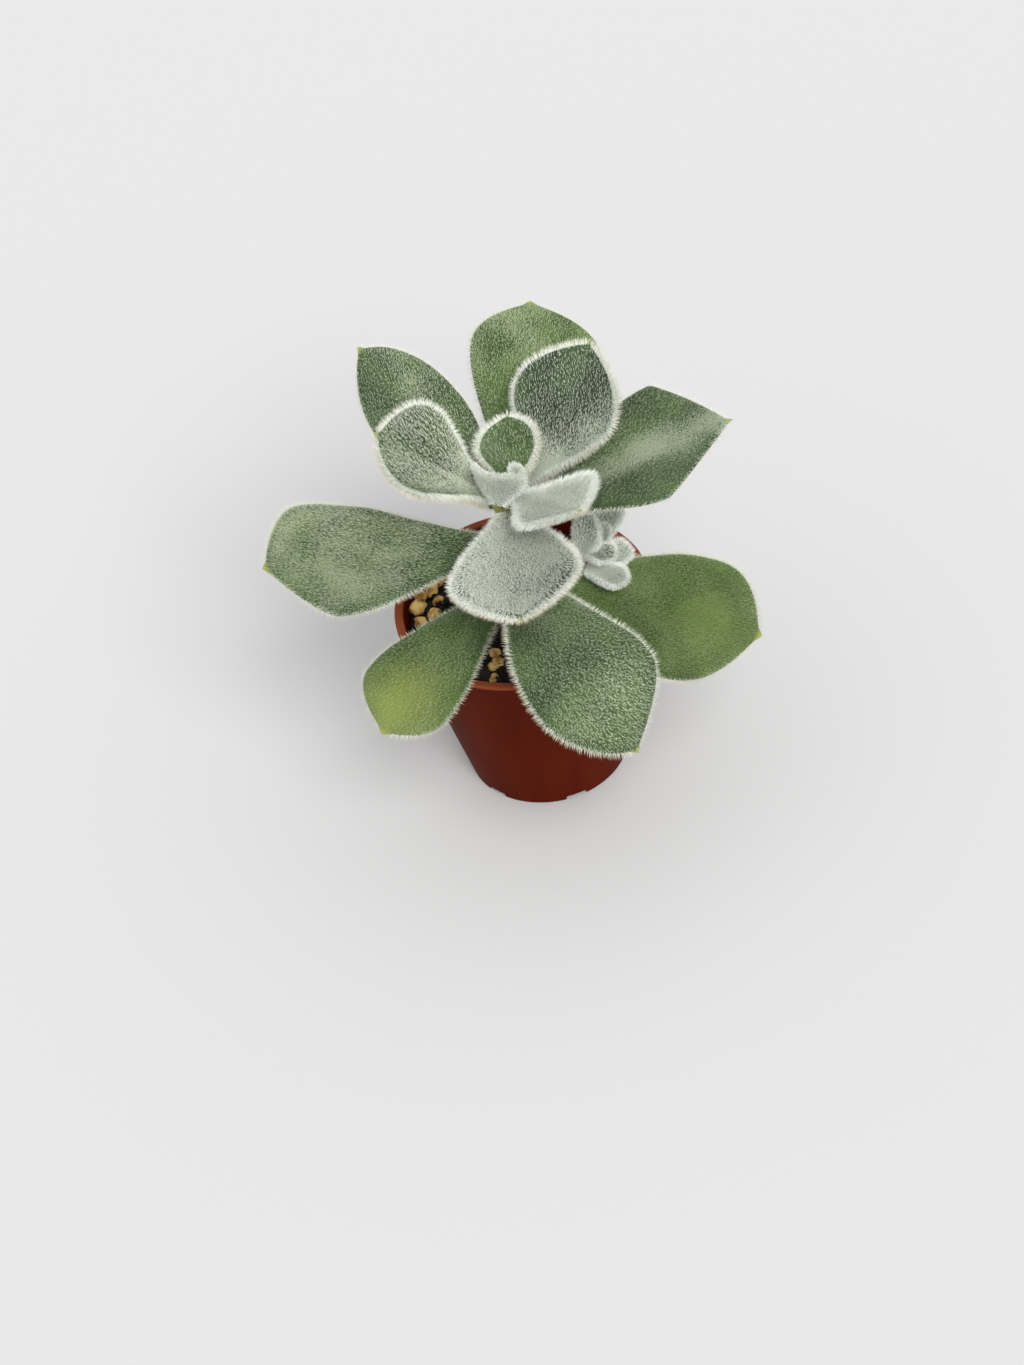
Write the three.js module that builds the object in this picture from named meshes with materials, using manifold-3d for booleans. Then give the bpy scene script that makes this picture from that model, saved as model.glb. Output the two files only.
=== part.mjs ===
// Potted frosty echeveria: a velvety rosette succulent with a young offset, in a small round nursery pot.
// Millimetres, +Z up. The origin is the middle of the pot's underside, and -Y is the front.

import * as THREE from "three";
import { mergeVertices } from "three/addons/utils/BufferGeometryUtils.js";
import Module from "manifold-3d";

const wasm = await Module();
wasm.setup();

// Driving dimensions of the pot

const POT_HEIGHT = 46;
const RIM_RADIUS = 27.5;
const BASE_RADIUS = 18;
const WALL = 1.2;
const LIP_STEP = 0.6;
const LIP_HEIGHT = 1.4;
const FLOOR = 3;
const FOOT_NOTCHES = 6;
const NOTCH_WIDTH = 4.8;
const NOTCH_HEIGHT = 1.3;
const NOTCH_DEPTH = 3;
const FIRST_NOTCH = -78;

// Driving dimensions of the soil

const SEAT_GAP = 0.3;
const SOIL_GAP = 0.45;
const SOIL_LEVEL = 42;
const SOIL_LUMP = 0.5;
const GRANULES = 16;
const GRANULE_RADIUS = 1.9;

// Driving dimensions of the stems: the main one leans a little from the soil to the crown

const STEM_RADIUS = 3;
const STEM_ROOT = 30;
const STEM_TOP = 74;
const CROWN = new THREE.Vector3(0.8, -0.5, 77);
const OFFSET_STEM_RADIUS = 1.5;
const OFFSET_SOIL = new THREE.Vector3(15, 6, 33);
const OFFSET_CROWN = new THREE.Vector3(16.4, -1.8, 57);

// Every leaf is one blade, a spoon outline along a curved spine, in degrees and millimetres.
// height is where it leaves the stem, az and rise are its heading there, and bend, droop and sweep
// turn it towards its tip. half is half its width, base the half width of its root, thick half its
// thickness, cup and crease shape its section, and wide, neck, point and lobe shape its outline.

const BLADE = {
  bend: 0, droop: 1, sweep: 0, roll: 0, cup: 10, crease: 0.05,
  wide: 0.65, neck: 0.5, point: 0.85, lobe: 2.2, base: 3, thick: 1.5, tip: 0.8, rows: 20, sides: 14,
};

const LARGE_LEAVES = {
  outer_leaf_right: {
    height: 49, az: -34, rise: 2, bend: -4, droop: 1.5, sweep: 3, length: 50, half: 15, roll: 13, cup: 4,
    crease: 0.06, wide: 0.67, neck: 0.3, point: 0.92, lobe: 3, thick: 1.3,
  },
  outer_leaf_front_left: {
    height: 52.5, az: 224, rise: -5, bend: -25, droop: 1.8, sweep: -8, length: 42, half: 13, roll: 6,
    cup: 6, wide: 0.79, neck: 1, point: 0.78, lobe: 2.1, thick: 1.4,
  },
  outer_leaf_front: {
    height: 59, az: -87, rise: -2, bend: -57, droop: 2.2, sweep: 36, length: 52, half: 15, roll: -9,
    cup: 7, wide: 0.72, neck: 1, point: 0.88, lobe: 1.8, thick: 1.4,
  },
  outer_leaf_back_left: {
    height: 70, az: 128, rise: 26, bend: 34, sweep: 14, length: 42.5, half: 12.8, roll: 9, cup: 8,
    crease: 0.08, wide: 0.55, neck: 0.3, point: 0.82, lobe: 2.6, base: 1.8, thick: 1.3,
  },
  outer_leaf_left: {
    height: 60.5, az: 179, rise: 8, bend: 12, sweep: 17, length: 49, half: 17, roll: -5, cup: 3,
    crease: 0.08, wide: 0.78, neck: 0.6, point: 0.86, lobe: 1.6, base: 2.8,
  },
  outer_leaf_back: {
    height: 64.5, az: 66, rise: 27, bend: -9, sweep: 19, length: 51.5, half: 14.5, roll: 19, cup: 22,
    crease: 0.04, wide: 0.69, neck: 0.7, lobe: 2.4, base: 2.6, thick: 1.4,
  },
  outer_leaf_back_right: {
    height: 67, az: 1, rise: 27, bend: -9, sweep: -10, length: 46, half: 16, roll: 6, cup: 3,
    crease: 0.18, wide: 0.69, neck: 0.8, point: 0.97, lobe: 1.1, base: 2.6,
  },
  inner_leaf_front: {
    height: 71.5, az: -95, rise: -7, bend: 7, sweep: 2, length: 29, half: 13, roll: 4, cup: 3,
    crease: 0.04, wide: 0.61, neck: 0.3, point: 0.81, lobe: 1.6, base: 2.4,
  },
  inner_leaf_left: {
    height: 74, az: 166, rise: 39, bend: 1, sweep: -3, length: 26, half: 14, roll: 1, cup: 17,
    crease: 0.12, wide: 0.69, neck: 0.94, point: 0.76, lobe: 1.9, base: 2.8,
  },
  inner_leaf_back: {
    height: 73, az: 33, rise: 38, bend: 12, sweep: 8, length: 32.5, half: 14, roll: -3, cup: 3,
    crease: 0.08, wide: 0.61, neck: 1, lobe: 1.8, base: 2,
  },
  inner_leaf_right: {
    height: 74.8, az: -51, rise: 14, bend: 20, sweep: -15, length: 22.5, half: 9.4, roll: 4, cup: 18,
    crease: 0.12, wide: 0.64, neck: 0.6, point: 0.88, lobe: 1.3, base: 1.6, thick: 1.3,
  },
  heart_leaf_back: {
    height: 76.6, az: 71, rise: 50, bend: -20, sweep: 17, length: 12, half: 7, roll: -7, cup: 36,
    wide: 0.45, neck: 0.3, point: 0.78, lobe: 2, base: 3.2, thick: 0.9, rows: 16, sides: 12,
  },
};

const SMALL = { rows: 12, sides: 10, base: 1.5, thick: 0.9, tip: 0.4, lobe: 2.4, point: 0.8, neck: 0.6 };

const HEART_LEAVES = [
  {
    ...SMALL, root: [-1.3, -3.1, 75.4], az: -120, rise: 86, bend: -16, length: 8.6, half: 6.4, cup: 62,
    roll: -4, base: 1.8, wide: 0.5, neck: 0.4, lobe: 2,
  },
  {
    ...SMALL, root: [2.5, -0.9, 76], az: 12, rise: 42, bend: 54, length: 5.4, half: 3.4, cup: 66,
    base: 1.4,
  },
];

const OFFSET_LEAVES = [
  {
    ...SMALL, root: [-2.6, -0.7, -0.8], az: -155, rise: 94, bend: 40, length: 9.8, half: 3.8, cup: 16,
    roll: 10, wide: 0.55,
  },
  {
    ...SMALL, root: [1.2, 1.6, -0.4], az: 48, rise: 56, bend: -4, length: 11, half: 4.4, cup: 16,
  },
  {
    ...SMALL, root: [1.8, 0.2, 0.2], az: 30, rise: 62, length: 5, half: 2.2, cup: 40, thick: 0.7,
    base: 1.1,
  },
  {
    ...SMALL, root: [-1.0, -1.4, 0.0], az: -40, rise: 18, bend: -16, length: 6.2, half: 3, cup: 34,
    roll: 8,
  },
  {
    ...SMALL, root: [0.9, -0.8, -1.6], az: -12, rise: 4, bend: -6, length: 7.2, half: 3.8, cup: 10,
    roll: 5, point: 1.0, lobe: 1.6, wide: 0.58,
  },
  {
    ...SMALL, root: [-1.6, -2.8, -2.8], az: -46, rise: 4, bend: 8, length: 10.4, half: 2.6, cup: 22,
    roll: 30, thick: 1.4,
  },
];

// Materials

const COLOURS = { leaf: "#8fa58a", heart: "#c3cdb9", stem: "#9aa46e", soil: "#2a211b", pot: "#6e3323" };

function finish(name, colour, roughness) {
  return new THREE.MeshStandardMaterial({ name, color: colour, roughness, metalness: 0 });
}

const LEAF_SKIN = finish("leaf", COLOURS.leaf, 0.85);
const HEART_SKIN = finish("heart", COLOURS.heart, 0.9);
const STEM_SKIN = finish("stem", COLOURS.stem, 0.8);
const POTTING_SOIL = finish("soil", COLOURS.soil, 1);
const POT_PLASTIC = finish("pot", COLOURS.pot, 0.5);

// Joining and cutting closed shapes

function solid(geometry) {
  const bare = geometry.clone();
  bare.deleteAttribute("normal");
  bare.deleteAttribute("uv");
  const merged = mergeVertices(bare, 1e-4);
  const mesh = new wasm.Mesh({
    numProp: 3,
    vertProperties: new Float32Array(merged.attributes.position.array),
    triVerts: new Uint32Array(merged.index.array),
  });
  return new wasm.Manifold(mesh);
}

function geometryOf(body) {
  const mesh = body.getMesh();
  const geometry = new THREE.BufferGeometry();
  geometry.setAttribute("position", new THREE.BufferAttribute(mesh.vertProperties, 3));
  geometry.setIndex(new THREE.BufferAttribute(mesh.triVerts, 1));
  geometry.computeVertexNormals();
  return geometry;
}

function radians(degrees) {
  return THREE.MathUtils.degToRad(degrees);
}

function stemPoint(height) {
  const k = Math.max(0, (height - SOIL_LEVEL) / (CROWN.z - SOIL_LEVEL));
  return new THREE.Vector3(CROWN.x * k, CROWN.y * k * k, height);
}

// The leaf blade

function heading(leaf, t) {
  const rise = radians(leaf.rise + leaf.bend * t ** leaf.droop);
  const az = radians(leaf.az + leaf.sweep * t);
  return new THREE.Vector3(Math.cos(rise) * Math.cos(az), Math.cos(rise) * Math.sin(az), Math.sin(rise));
}

function spinePoint(leaf, t) {
  const steps = 24;
  const point = leaf.root.clone();
  for (let i = 0; i < steps; i += 1) {
    point.addScaledVector(heading(leaf, ((i + 0.5) / steps) * t), (leaf.length * t) / steps);
  }
  return point;
}

function halfWidth(leaf, t) {
  const root = leaf.base / leaf.half;
  if (t < leaf.wide) {
    const u = t / leaf.wide;
    const rise = (1 - leaf.neck) * Math.sin((u * Math.PI) / 2) + leaf.neck * u * u * (3 - 2 * u);
    return leaf.half * (root + (1 - root) * rise);
  }
  const v = (t - leaf.wide) / (1 - leaf.wide);
  return leaf.half * (1 - v ** leaf.lobe) ** leaf.point;
}

function halfThickness(leaf, t) {
  return leaf.thick * (1 - 0.25 * t) * Math.sqrt(1 - t ** 8);
}

function bladePoint(leaf, t, around) {
  const along = heading(leaf, t);
  const az = radians(leaf.az + leaf.sweep * t);
  const level = new THREE.Vector3(-Math.sin(az), Math.cos(az), 0);
  const side = level.applyAxisAngle(along, radians(leaf.roll));
  const up = new THREE.Vector3().crossVectors(along, side);
  const across = Math.cos(around);
  const width = halfWidth(leaf, t);
  const skin = halfThickness(leaf, t) * Math.sign(Math.sin(around)) * Math.abs(Math.sin(around)) ** 0.7;
  const cup = radians(leaf.cup) * Math.sqrt(Math.sin(Math.PI * THREE.MathUtils.clamp(t, 0.02, 0.98)));
  const turn = cup * across;
  const soft = 0.25;
  const valley = (Math.hypot(across, soft) - soft) / (Math.hypot(1, soft) - soft);
  const sideways = (width * Math.sin(turn)) / cup - skin * Math.sin(turn);
  const lift = (width * (1 - Math.cos(turn))) / cup + leaf.crease * valley * width * (1 - 0.6 * t);
  const point = spinePoint(leaf, t);
  point.addScaledVector(side, sideways);
  return point.addScaledVector(up, lift + skin * Math.cos(turn));
}

function blade(settings) {
  const leaf = { ...BLADE, ...settings };
  const geometry = new THREE.SphereGeometry(1, leaf.sides, leaf.rows);
  const { position, uv } = geometry.attributes;
  for (let i = 0; i < position.count; i += 1) {
    const row = Math.round((1 - uv.getY(i)) * leaf.rows);
    const k = Math.max(0, row - 1) / (leaf.rows - 1);
    const t = 1 - (1 - k) ** 1.5;
    let point = bladePoint(leaf, t, -uv.getX(i) * 2 * Math.PI);
    if (row === 0) {
      point = leaf.root;
    }
    if (row === leaf.rows) {
      point = spinePoint(leaf, 1).addScaledVector(heading(leaf, 1), leaf.tip);
    }
    position.setXYZ(i, point.x, point.y, point.z);
  }
  return solid(geometry);
}

function largeLeaf(settings) {
  const leaf = { ...BLADE, ...settings };
  const az = radians(leaf.az);
  const start = STEM_RADIUS + SEAT_GAP + leaf.thick * Math.abs(Math.sin(radians(leaf.rise)));
  const root = stemPoint(leaf.height).add(new THREE.Vector3(start * Math.cos(az), start * Math.sin(az), 0));
  return blade({ ...leaf, root });
}

function smallLeaf(settings, origin) {
  return blade({ ...settings, root: new THREE.Vector3(...settings.root).add(origin) });
}

// A round stem whose rings follow a leaning centre line

function stemSolid(profile, centre) {
  const points = profile.map(([radius, height]) => new THREE.Vector2(radius, height));
  const geometry = new THREE.LatheGeometry(points, 16);
  geometry.rotateX(Math.PI / 2);
  const { position } = geometry.attributes;
  for (let i = 0; i < position.count; i += 1) {
    const lean = centre(position.getZ(i));
    position.setX(i, position.getX(i) + lean.x);
    position.setY(i, position.getY(i) + lean.y);
  }
  return solid(geometry);
}

function mainStem() {
  const profile = [[0, STEM_ROOT], [STEM_RADIUS * 0.8, STEM_ROOT], [STEM_RADIUS, STEM_ROOT + 1]];
  for (let height = SOIL_LEVEL; height < STEM_TOP; height += 4) {
    profile.push([STEM_RADIUS, height]);
  }
  profile.push([STEM_RADIUS, STEM_TOP], [0, STEM_TOP]);
  return stemSolid(profile, stemPoint);
}

function heart() {
  const bottom = STEM_TOP + SEAT_GAP;
  const dome = [[STEM_RADIUS, CROWN.z - 1], [STEM_RADIUS * 0.7, CROWN.z + 1.2], [0, CROWN.z + 2.4]];
  let body = stemSolid([[0, bottom], [STEM_RADIUS, bottom], ...dome], stemPoint);
  for (const settings of HEART_LEAVES) {
    body = body.add(smallLeaf(settings, new THREE.Vector3()));
  }
  return body;
}

function offsetCentre(height) {
  const k = Math.max(0, (height - SOIL_LEVEL) / (OFFSET_CROWN.z - SOIL_LEVEL));
  const x = THREE.MathUtils.lerp(OFFSET_SOIL.x, OFFSET_CROWN.x, k);
  const y = THREE.MathUtils.lerp(OFFSET_SOIL.y, OFFSET_CROWN.y, k);
  return new THREE.Vector3(x, y, height);
}

function offsetRosette() {
  const top = OFFSET_CROWN.z;
  const profile = [[0, OFFSET_SOIL.z], [OFFSET_STEM_RADIUS, OFFSET_SOIL.z]];
  for (let height = SOIL_LEVEL; height < top; height += 4) {
    profile.push([OFFSET_STEM_RADIUS, height]);
  }
  profile.push([OFFSET_STEM_RADIUS * 1.3, top], [OFFSET_STEM_RADIUS, top + 1.2], [0, top + 1.8]);
  let body = stemSolid(profile, offsetCentre);
  for (const settings of OFFSET_LEAVES) {
    body = body.add(smallLeaf(settings, OFFSET_CROWN));
  }
  return body;
}

// The pot

function wallRadius(height) {
  return THREE.MathUtils.lerp(BASE_RADIUS, RIM_RADIUS - LIP_STEP, height / POT_HEIGHT);
}

function potShell() {
  const lip = POT_HEIGHT - LIP_HEIGHT;
  const profile = [
    [0, 0],
    [BASE_RADIUS, 0],
    [wallRadius(lip), lip],
    [RIM_RADIUS, lip + 0.3],
    [RIM_RADIUS, POT_HEIGHT - 0.3],
    [RIM_RADIUS - 0.3, POT_HEIGHT],
    [wallRadius(POT_HEIGHT) - WALL, POT_HEIGHT],
    [wallRadius(FLOOR) - WALL, FLOOR],
    [0, FLOOR],
  ];
  const points = profile.map(([radius, height]) => new THREE.Vector2(radius, height));
  const geometry = new THREE.LatheGeometry(points, 64);
  geometry.rotateX(Math.PI / 2);
  return solid(geometry);
}

function pot() {
  let body = potShell();
  for (let i = 0; i < FOOT_NOTCHES; i += 1) {
    const notch = new THREE.BoxGeometry(2 * NOTCH_DEPTH, NOTCH_WIDTH, 2 * NOTCH_HEIGHT);
    notch.translate(BASE_RADIUS, 0, 0);
    notch.rotateZ(radians(FIRST_NOTCH + (i * 360) / FOOT_NOTCHES));
    body = body.subtract(solid(notch));
  }
  return body;
}

// The soil: a lumpy plug with loose granules pressed into it, and a plain hole for each stem

function soilTop(x, y) {
  const rough = Math.sin(0.9 * x + 0.4 * y) + Math.sin(0.5 * x - 1.1 * y) + Math.sin(1.3 * x + 1.2 * y);
  return SOIL_LEVEL + (SOIL_LUMP * rough) / 2;
}

function soilPlug() {
  const bottom = FLOOR + SEAT_GAP;
  const inner = (height) => wallRadius(height) - WALL - SOIL_GAP;
  const edge = inner(SOIL_LEVEL + SOIL_LUMP);
  const profile = [[0, bottom], [inner(bottom), bottom], [inner(SOIL_LEVEL - 2), SOIL_LEVEL - 2]];
  for (let ring = 8; ring >= 0; ring -= 1) {
    profile.push([(edge * ring) / 8, SOIL_LEVEL]);
  }
  const points = profile.map(([radius, height]) => new THREE.Vector2(radius, height));
  const geometry = new THREE.LatheGeometry(points, 36);
  geometry.rotateX(Math.PI / 2);
  const { position } = geometry.attributes;
  for (let i = 0; i < position.count; i += 1) {
    const x = position.getX(i);
    const y = position.getY(i);
    if (position.getZ(i) > SOIL_LEVEL - 1 && Math.hypot(x, y) < edge - 0.1) {
      position.setZ(i, soilTop(x, y));
    }
  }
  return solid(geometry);
}

function granule(index) {
  const turn = index * 2.4;
  const radius = 8 + 15 * Math.sqrt((index * 0.618) % 1);
  const size = GRANULE_RADIUS * (0.7 + 0.5 * ((index * 0.37) % 1));
  const stone = new THREE.IcosahedronGeometry(size, 0);
  stone.rotateX(index);
  stone.rotateY(index * 1.7);
  const x = radius * Math.cos(turn);
  const y = radius * Math.sin(turn);
  stone.translate(x, y, soilTop(x, y) + size * 0.3);
  return solid(stone);
}

function hole(radius, centre, depth) {
  const geometry = new THREE.CylinderGeometry(radius, radius, depth, 24);
  geometry.rotateX(Math.PI / 2);
  geometry.translate(centre.x, centre.y, centre.z + depth / 2);
  return solid(geometry);
}

function soil() {
  let body = soilPlug();
  for (let i = 0; i < GRANULES; i += 1) {
    body = body.add(granule(i));
  }
  const mainHole = new THREE.Vector3(0, 0, STEM_ROOT - SEAT_GAP);
  const offsetHole = new THREE.Vector3(OFFSET_SOIL.x, OFFSET_SOIL.y, OFFSET_SOIL.z - SEAT_GAP);
  body = body.subtract(hole(STEM_RADIUS + 2 * SEAT_GAP, mainHole, 20));
  return body.subtract(hole(OFFSET_STEM_RADIUS + 2 * SEAT_GAP, offsetHole, 20));
}

// The plant in its pot

const plant = new THREE.Group();

function place(name, body, material) {
  const mesh = new THREE.Mesh(geometryOf(body), material);
  mesh.name = name;
  plant.add(mesh);
}

place("pot", pot(), POT_PLASTIC);
place("soil", soil(), POTTING_SOIL);
place("stem", mainStem(), STEM_SKIN);
for (const [name, settings] of Object.entries(LARGE_LEAVES)) {
  place(name, largeLeaf(settings), LEAF_SKIN);
}
place("heart_leaves", heart(), HEART_SKIN);
place("offset_rosette", offsetRosette(), LEAF_SKIN);

export default plant;
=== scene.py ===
# %% [markdown]
# # A potted frosty echeveria, dressed for the camera
# The plant is a small succulent whose thick, spoon-shaped leaves are covered in short white hair.
# It grows on a bare stem in a small brown nursery pot, with one young offset beside it.
# The construction frame holds the pieces at their real size. This lesson gives each of them its
# fine surface: smooth fleshy blades, a coat of real hairs, crumbly soil and a moulded plastic pot.

# %% Load the construction frame
import math
import random

import bmesh
import bpy
from mathutils import Matrix, Vector, noise


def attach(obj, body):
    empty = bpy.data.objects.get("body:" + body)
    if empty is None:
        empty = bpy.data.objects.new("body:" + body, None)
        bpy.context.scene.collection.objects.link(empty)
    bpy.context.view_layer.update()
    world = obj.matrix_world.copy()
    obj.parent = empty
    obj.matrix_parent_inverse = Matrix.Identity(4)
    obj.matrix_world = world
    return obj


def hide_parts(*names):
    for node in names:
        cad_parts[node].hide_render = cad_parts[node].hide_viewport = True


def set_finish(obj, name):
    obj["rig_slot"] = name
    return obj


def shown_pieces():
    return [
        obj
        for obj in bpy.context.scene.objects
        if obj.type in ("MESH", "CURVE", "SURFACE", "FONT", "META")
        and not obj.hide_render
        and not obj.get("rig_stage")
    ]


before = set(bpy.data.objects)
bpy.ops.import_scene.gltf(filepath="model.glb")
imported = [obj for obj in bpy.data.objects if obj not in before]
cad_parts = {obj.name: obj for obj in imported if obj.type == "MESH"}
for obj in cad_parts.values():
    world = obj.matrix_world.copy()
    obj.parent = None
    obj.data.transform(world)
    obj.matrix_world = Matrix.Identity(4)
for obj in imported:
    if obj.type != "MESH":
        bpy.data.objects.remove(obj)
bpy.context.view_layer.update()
print("nodes in the frame:", len(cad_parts))

# %% [markdown]
# ## Units and small tools
# Blender works in metres, and a plant this small is easier to describe in millimetres, so every
# size below is written in millimetres and turned to metres where a mesh gets it. Colours are the
# usual sRGB hex values, turned to the linear values that a shader wants by one function.

# %% Millimetres and colours
MM = 0.001


def linear(code):
    channels = [int(code[i:i + 2], 16) / 255 for i in (1, 3, 5)]
    bent = [c / 12.92 if c <= 0.04045 else ((c + 0.055) / 1.055) ** 2.4 for c in channels]
    return (*bent, 1.0)


def mix(low, high, share):
    return low + (high - low) * share


def smooth(value, low, high):
    k = min(1.0, max(0.0, (value - low) / (high - low)))
    return k * k * (3 - 2 * k)


print("a mid grey is", [round(c, 3) for c in linear("#808080")[:3]])


# %% [markdown]
# A material or a hair tree is a graph of nodes. One small function adds any node: its settings,
# its values and its links in one call, so that a graph reads from top to bottom like a recipe.
# Where `out` names an output, the call gives back that socket, ready to be linked onwards.

# %% One function adds a node
def add(tree, kind, settings=None, inputs=None, out=None):
    node = tree.nodes.new(kind)
    for name, value in (settings or {}).items():
        setattr(node, name, value)
    for socket, value in (inputs or {}).items():
        if isinstance(value, bpy.types.NodeSocket):
            tree.links.new(value, node.inputs[socket])
        else:
            node.inputs[socket].default_value = value
    return node if out is None else node.outputs[out]


def new_material(name):
    material = bpy.data.materials.new(name)
    material.use_nodes = True
    tree = material.node_tree
    return material, tree, tree.nodes["Principled BSDF"]


COLOURS = {"data_type": "RGBA"}
SOFT = {"data_type": "RGBA", "blend_type": "SOFT_LIGHT"}
SMOOTHLY = {"interpolation_type": "SMOOTHSTEP"}
TIMES = {"operation": "MULTIPLY"}
print("node settings that repeat:", COLOURS, SOFT, SMOOTHLY, TIMES)


# %% [markdown]
# Every finished piece is one mesh whose object stays at the origin, riding on the single body of
# the plant. This function turns a bmesh into such a piece, with smooth faces and its material.
# Merging doubles can leave corners and faces in another order on each run, and hair is sown face by
# face, so both are first sorted by where they lie. Then every run grows the same hair.

# %% From bmesh to a piece
ORDER = Vector((1.0, 7.0, 53.0))


def sort_by_place(bm):
    bm.verts.sort(key=lambda vert: vert.co.dot(ORDER))
    bm.faces.sort(key=lambda face: face.calc_center_median().dot(ORDER))


def piece_from(bm, name, material, slot, replaced=()):
    sort_by_place(bm)
    mesh = bpy.data.meshes.new(name)
    bm.to_mesh(mesh)
    bm.free()
    mesh.shade_smooth()
    mesh.materials.append(material)
    made = bpy.data.objects.new(name, mesh)
    bpy.context.scene.collection.objects.link(made)
    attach(made, "root")
    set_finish(made, slot)
    if replaced:
        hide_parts(*replaced)
    return made


def triangles(made):
    return sum(len(face.vertices) - 2 for face in made.data.polygons)


print("corners are sorted along", tuple(ORDER))


# %% [markdown]
# ## The leaves: driving sizes
# A leaf of this plant is a thick spoon: narrow where it leaves the stem, widest past its middle,
# and drawn to a small point. It could be sculpted, but a dozen leaves of one kind are better held
# as a formula with a few numbers each. `height` is where it leaves the stem, `az` and `rise` are
# its heading there in degrees, and `bend`, `droop` and `sweep` turn it towards its tip. `half` is
# half its width, `cup` and `crease` shape its section, and `wide`, `neck`, `point` and `lobe` its
# outline. These are the same numbers as in the construction, so the fine leaf keeps its form.

# %% Leaf sizes
BLADE = dict(bend=0, droop=1, sweep=0, roll=0, cup=10, crease=0.05, wide=0.65, neck=0.5, point=0.85,
             lobe=2.2, base=3, thick=1.5, tip=0.8)

LARGE_LEAVES = {
    "outer_leaf_right": dict(height=49, az=-34, rise=2, bend=-4, droop=1.5, sweep=3, length=50, half=15,
                             roll=13, cup=4, crease=0.06, wide=0.67, neck=0.3, point=0.92, lobe=3,
                             thick=1.3),
    "outer_leaf_front_left": dict(height=52.5, az=224, rise=-5, bend=-25, droop=1.8, sweep=-8, length=42,
                                  half=13, roll=6, cup=6, wide=0.79, neck=1, point=0.78, lobe=2.1,
                                  thick=1.4),
    "outer_leaf_front": dict(height=59, az=-87, rise=-2, bend=-57, droop=2.2, sweep=36, length=52, half=15,
                             roll=-9, cup=7, wide=0.72, neck=1, point=0.88, lobe=1.8, thick=1.4),
    "outer_leaf_back_left": dict(height=70, az=128, rise=26, bend=34, sweep=14, length=42.5, half=12.8,
                                 roll=9, cup=8, crease=0.08, wide=0.55, neck=0.3, point=0.82, lobe=2.6,
                                 base=1.8, thick=1.3),
    "outer_leaf_left": dict(height=60.5, az=179, rise=8, bend=12, sweep=17, length=49, half=17, roll=-5,
                            cup=3, crease=0.08, wide=0.78, neck=0.6, point=0.86, lobe=1.6, base=2.8),
    "outer_leaf_back": dict(height=64.5, az=66, rise=27, bend=-9, sweep=19, length=51.5, half=14.5,
                            roll=19, cup=22, crease=0.04, wide=0.69, neck=0.7, lobe=2.4, base=2.6,
                            thick=1.4),
    "outer_leaf_back_right": dict(height=67, az=1, rise=27, bend=-9, sweep=-10, length=46, half=16, roll=6,
                                  cup=3, crease=0.18, wide=0.69, neck=0.8, point=0.97, lobe=1.1,
                                  base=2.6),
    "inner_leaf_front": dict(height=71.5, az=-95, rise=-7, bend=7, sweep=2, length=29, half=13, roll=4,
                             cup=3, crease=0.04, wide=0.61, neck=0.3, point=0.81, lobe=1.6, base=2.4),
    "inner_leaf_left": dict(height=74, az=166, rise=39, bend=1, sweep=-3, length=26, half=14, roll=1,
                            cup=17, crease=0.12, wide=0.69, neck=0.94, point=0.76, lobe=1.9, base=2.8),
    "inner_leaf_back": dict(height=73, az=33, rise=38, bend=12, sweep=8, length=32.5, half=14, roll=-3,
                            cup=3, crease=0.08, wide=0.61, neck=1, lobe=1.8, base=2),
    "inner_leaf_right": dict(height=74.8, az=-51, rise=14, bend=20, sweep=-15, length=22.5, half=9.4,
                             roll=4, cup=18, crease=0.12, wide=0.64, neck=0.6, point=0.88, lobe=1.3,
                             base=1.6, thick=1.3),
    "heart_leaf_back": dict(height=76.6, az=71, rise=50, bend=-20, sweep=17, length=12, half=7, roll=-7,
                            cup=36, wide=0.45, neck=0.3, point=0.78, lobe=2, base=3.2, thick=0.9),
}
print("large leaves:", len(LARGE_LEAVES))

# %% [markdown]
# The heart of the rosette and the offset are heads of small leaves that grow from one base, so
# each of these two heads stays one piece. Their leaves start at a point near the growing tip.

# %% Small leaf sizes
SMALL = dict(base=1.5, thick=0.9, tip=0.4, lobe=2.4, point=0.8, neck=0.6)

HEART_LEAVES = [
    dict(SMALL, root=(-1.3, -3.1, 75.4), az=-120, rise=86, bend=-16, length=8.6, half=6.4, cup=62,
         roll=-4, base=1.8, wide=0.5, neck=0.4, lobe=2),
    dict(SMALL, root=(2.5, -0.9, 76), az=12, rise=42, bend=54, length=5.4, half=3.4, cup=66, base=1.4),
]

OFFSET_LEAVES = [
    dict(SMALL, root=(-2.6, -0.7, -0.8), az=-155, rise=94, bend=40, length=9.8, half=3.8, cup=16, roll=10,
         wide=0.55),
    dict(SMALL, root=(1.2, 1.6, -0.4), az=48, rise=56, bend=-4, length=11, half=4.4, cup=16),
    dict(SMALL, root=(1.8, 0.2, 0.2), az=30, rise=62, length=5, half=2.2, cup=40, thick=0.7, base=1.1),
    dict(SMALL, root=(-1.0, -1.4, 0.0), az=-40, rise=18, bend=-16, length=6.2, half=3, cup=34, roll=8),
    dict(SMALL, root=(0.9, -0.8, -1.6), az=-12, rise=4, bend=-6, length=7.2, half=3.8, cup=10, roll=5,
         point=1.0, lobe=1.6, wide=0.58),
    dict(SMALL, root=(-1.6, -2.8, -2.8), az=-46, rise=4, bend=8, length=10.4, half=2.6, cup=22, roll=30,
         thick=1.4),
]
print("small leaves:", len(HEART_LEAVES) + len(OFFSET_LEAVES))

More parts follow.
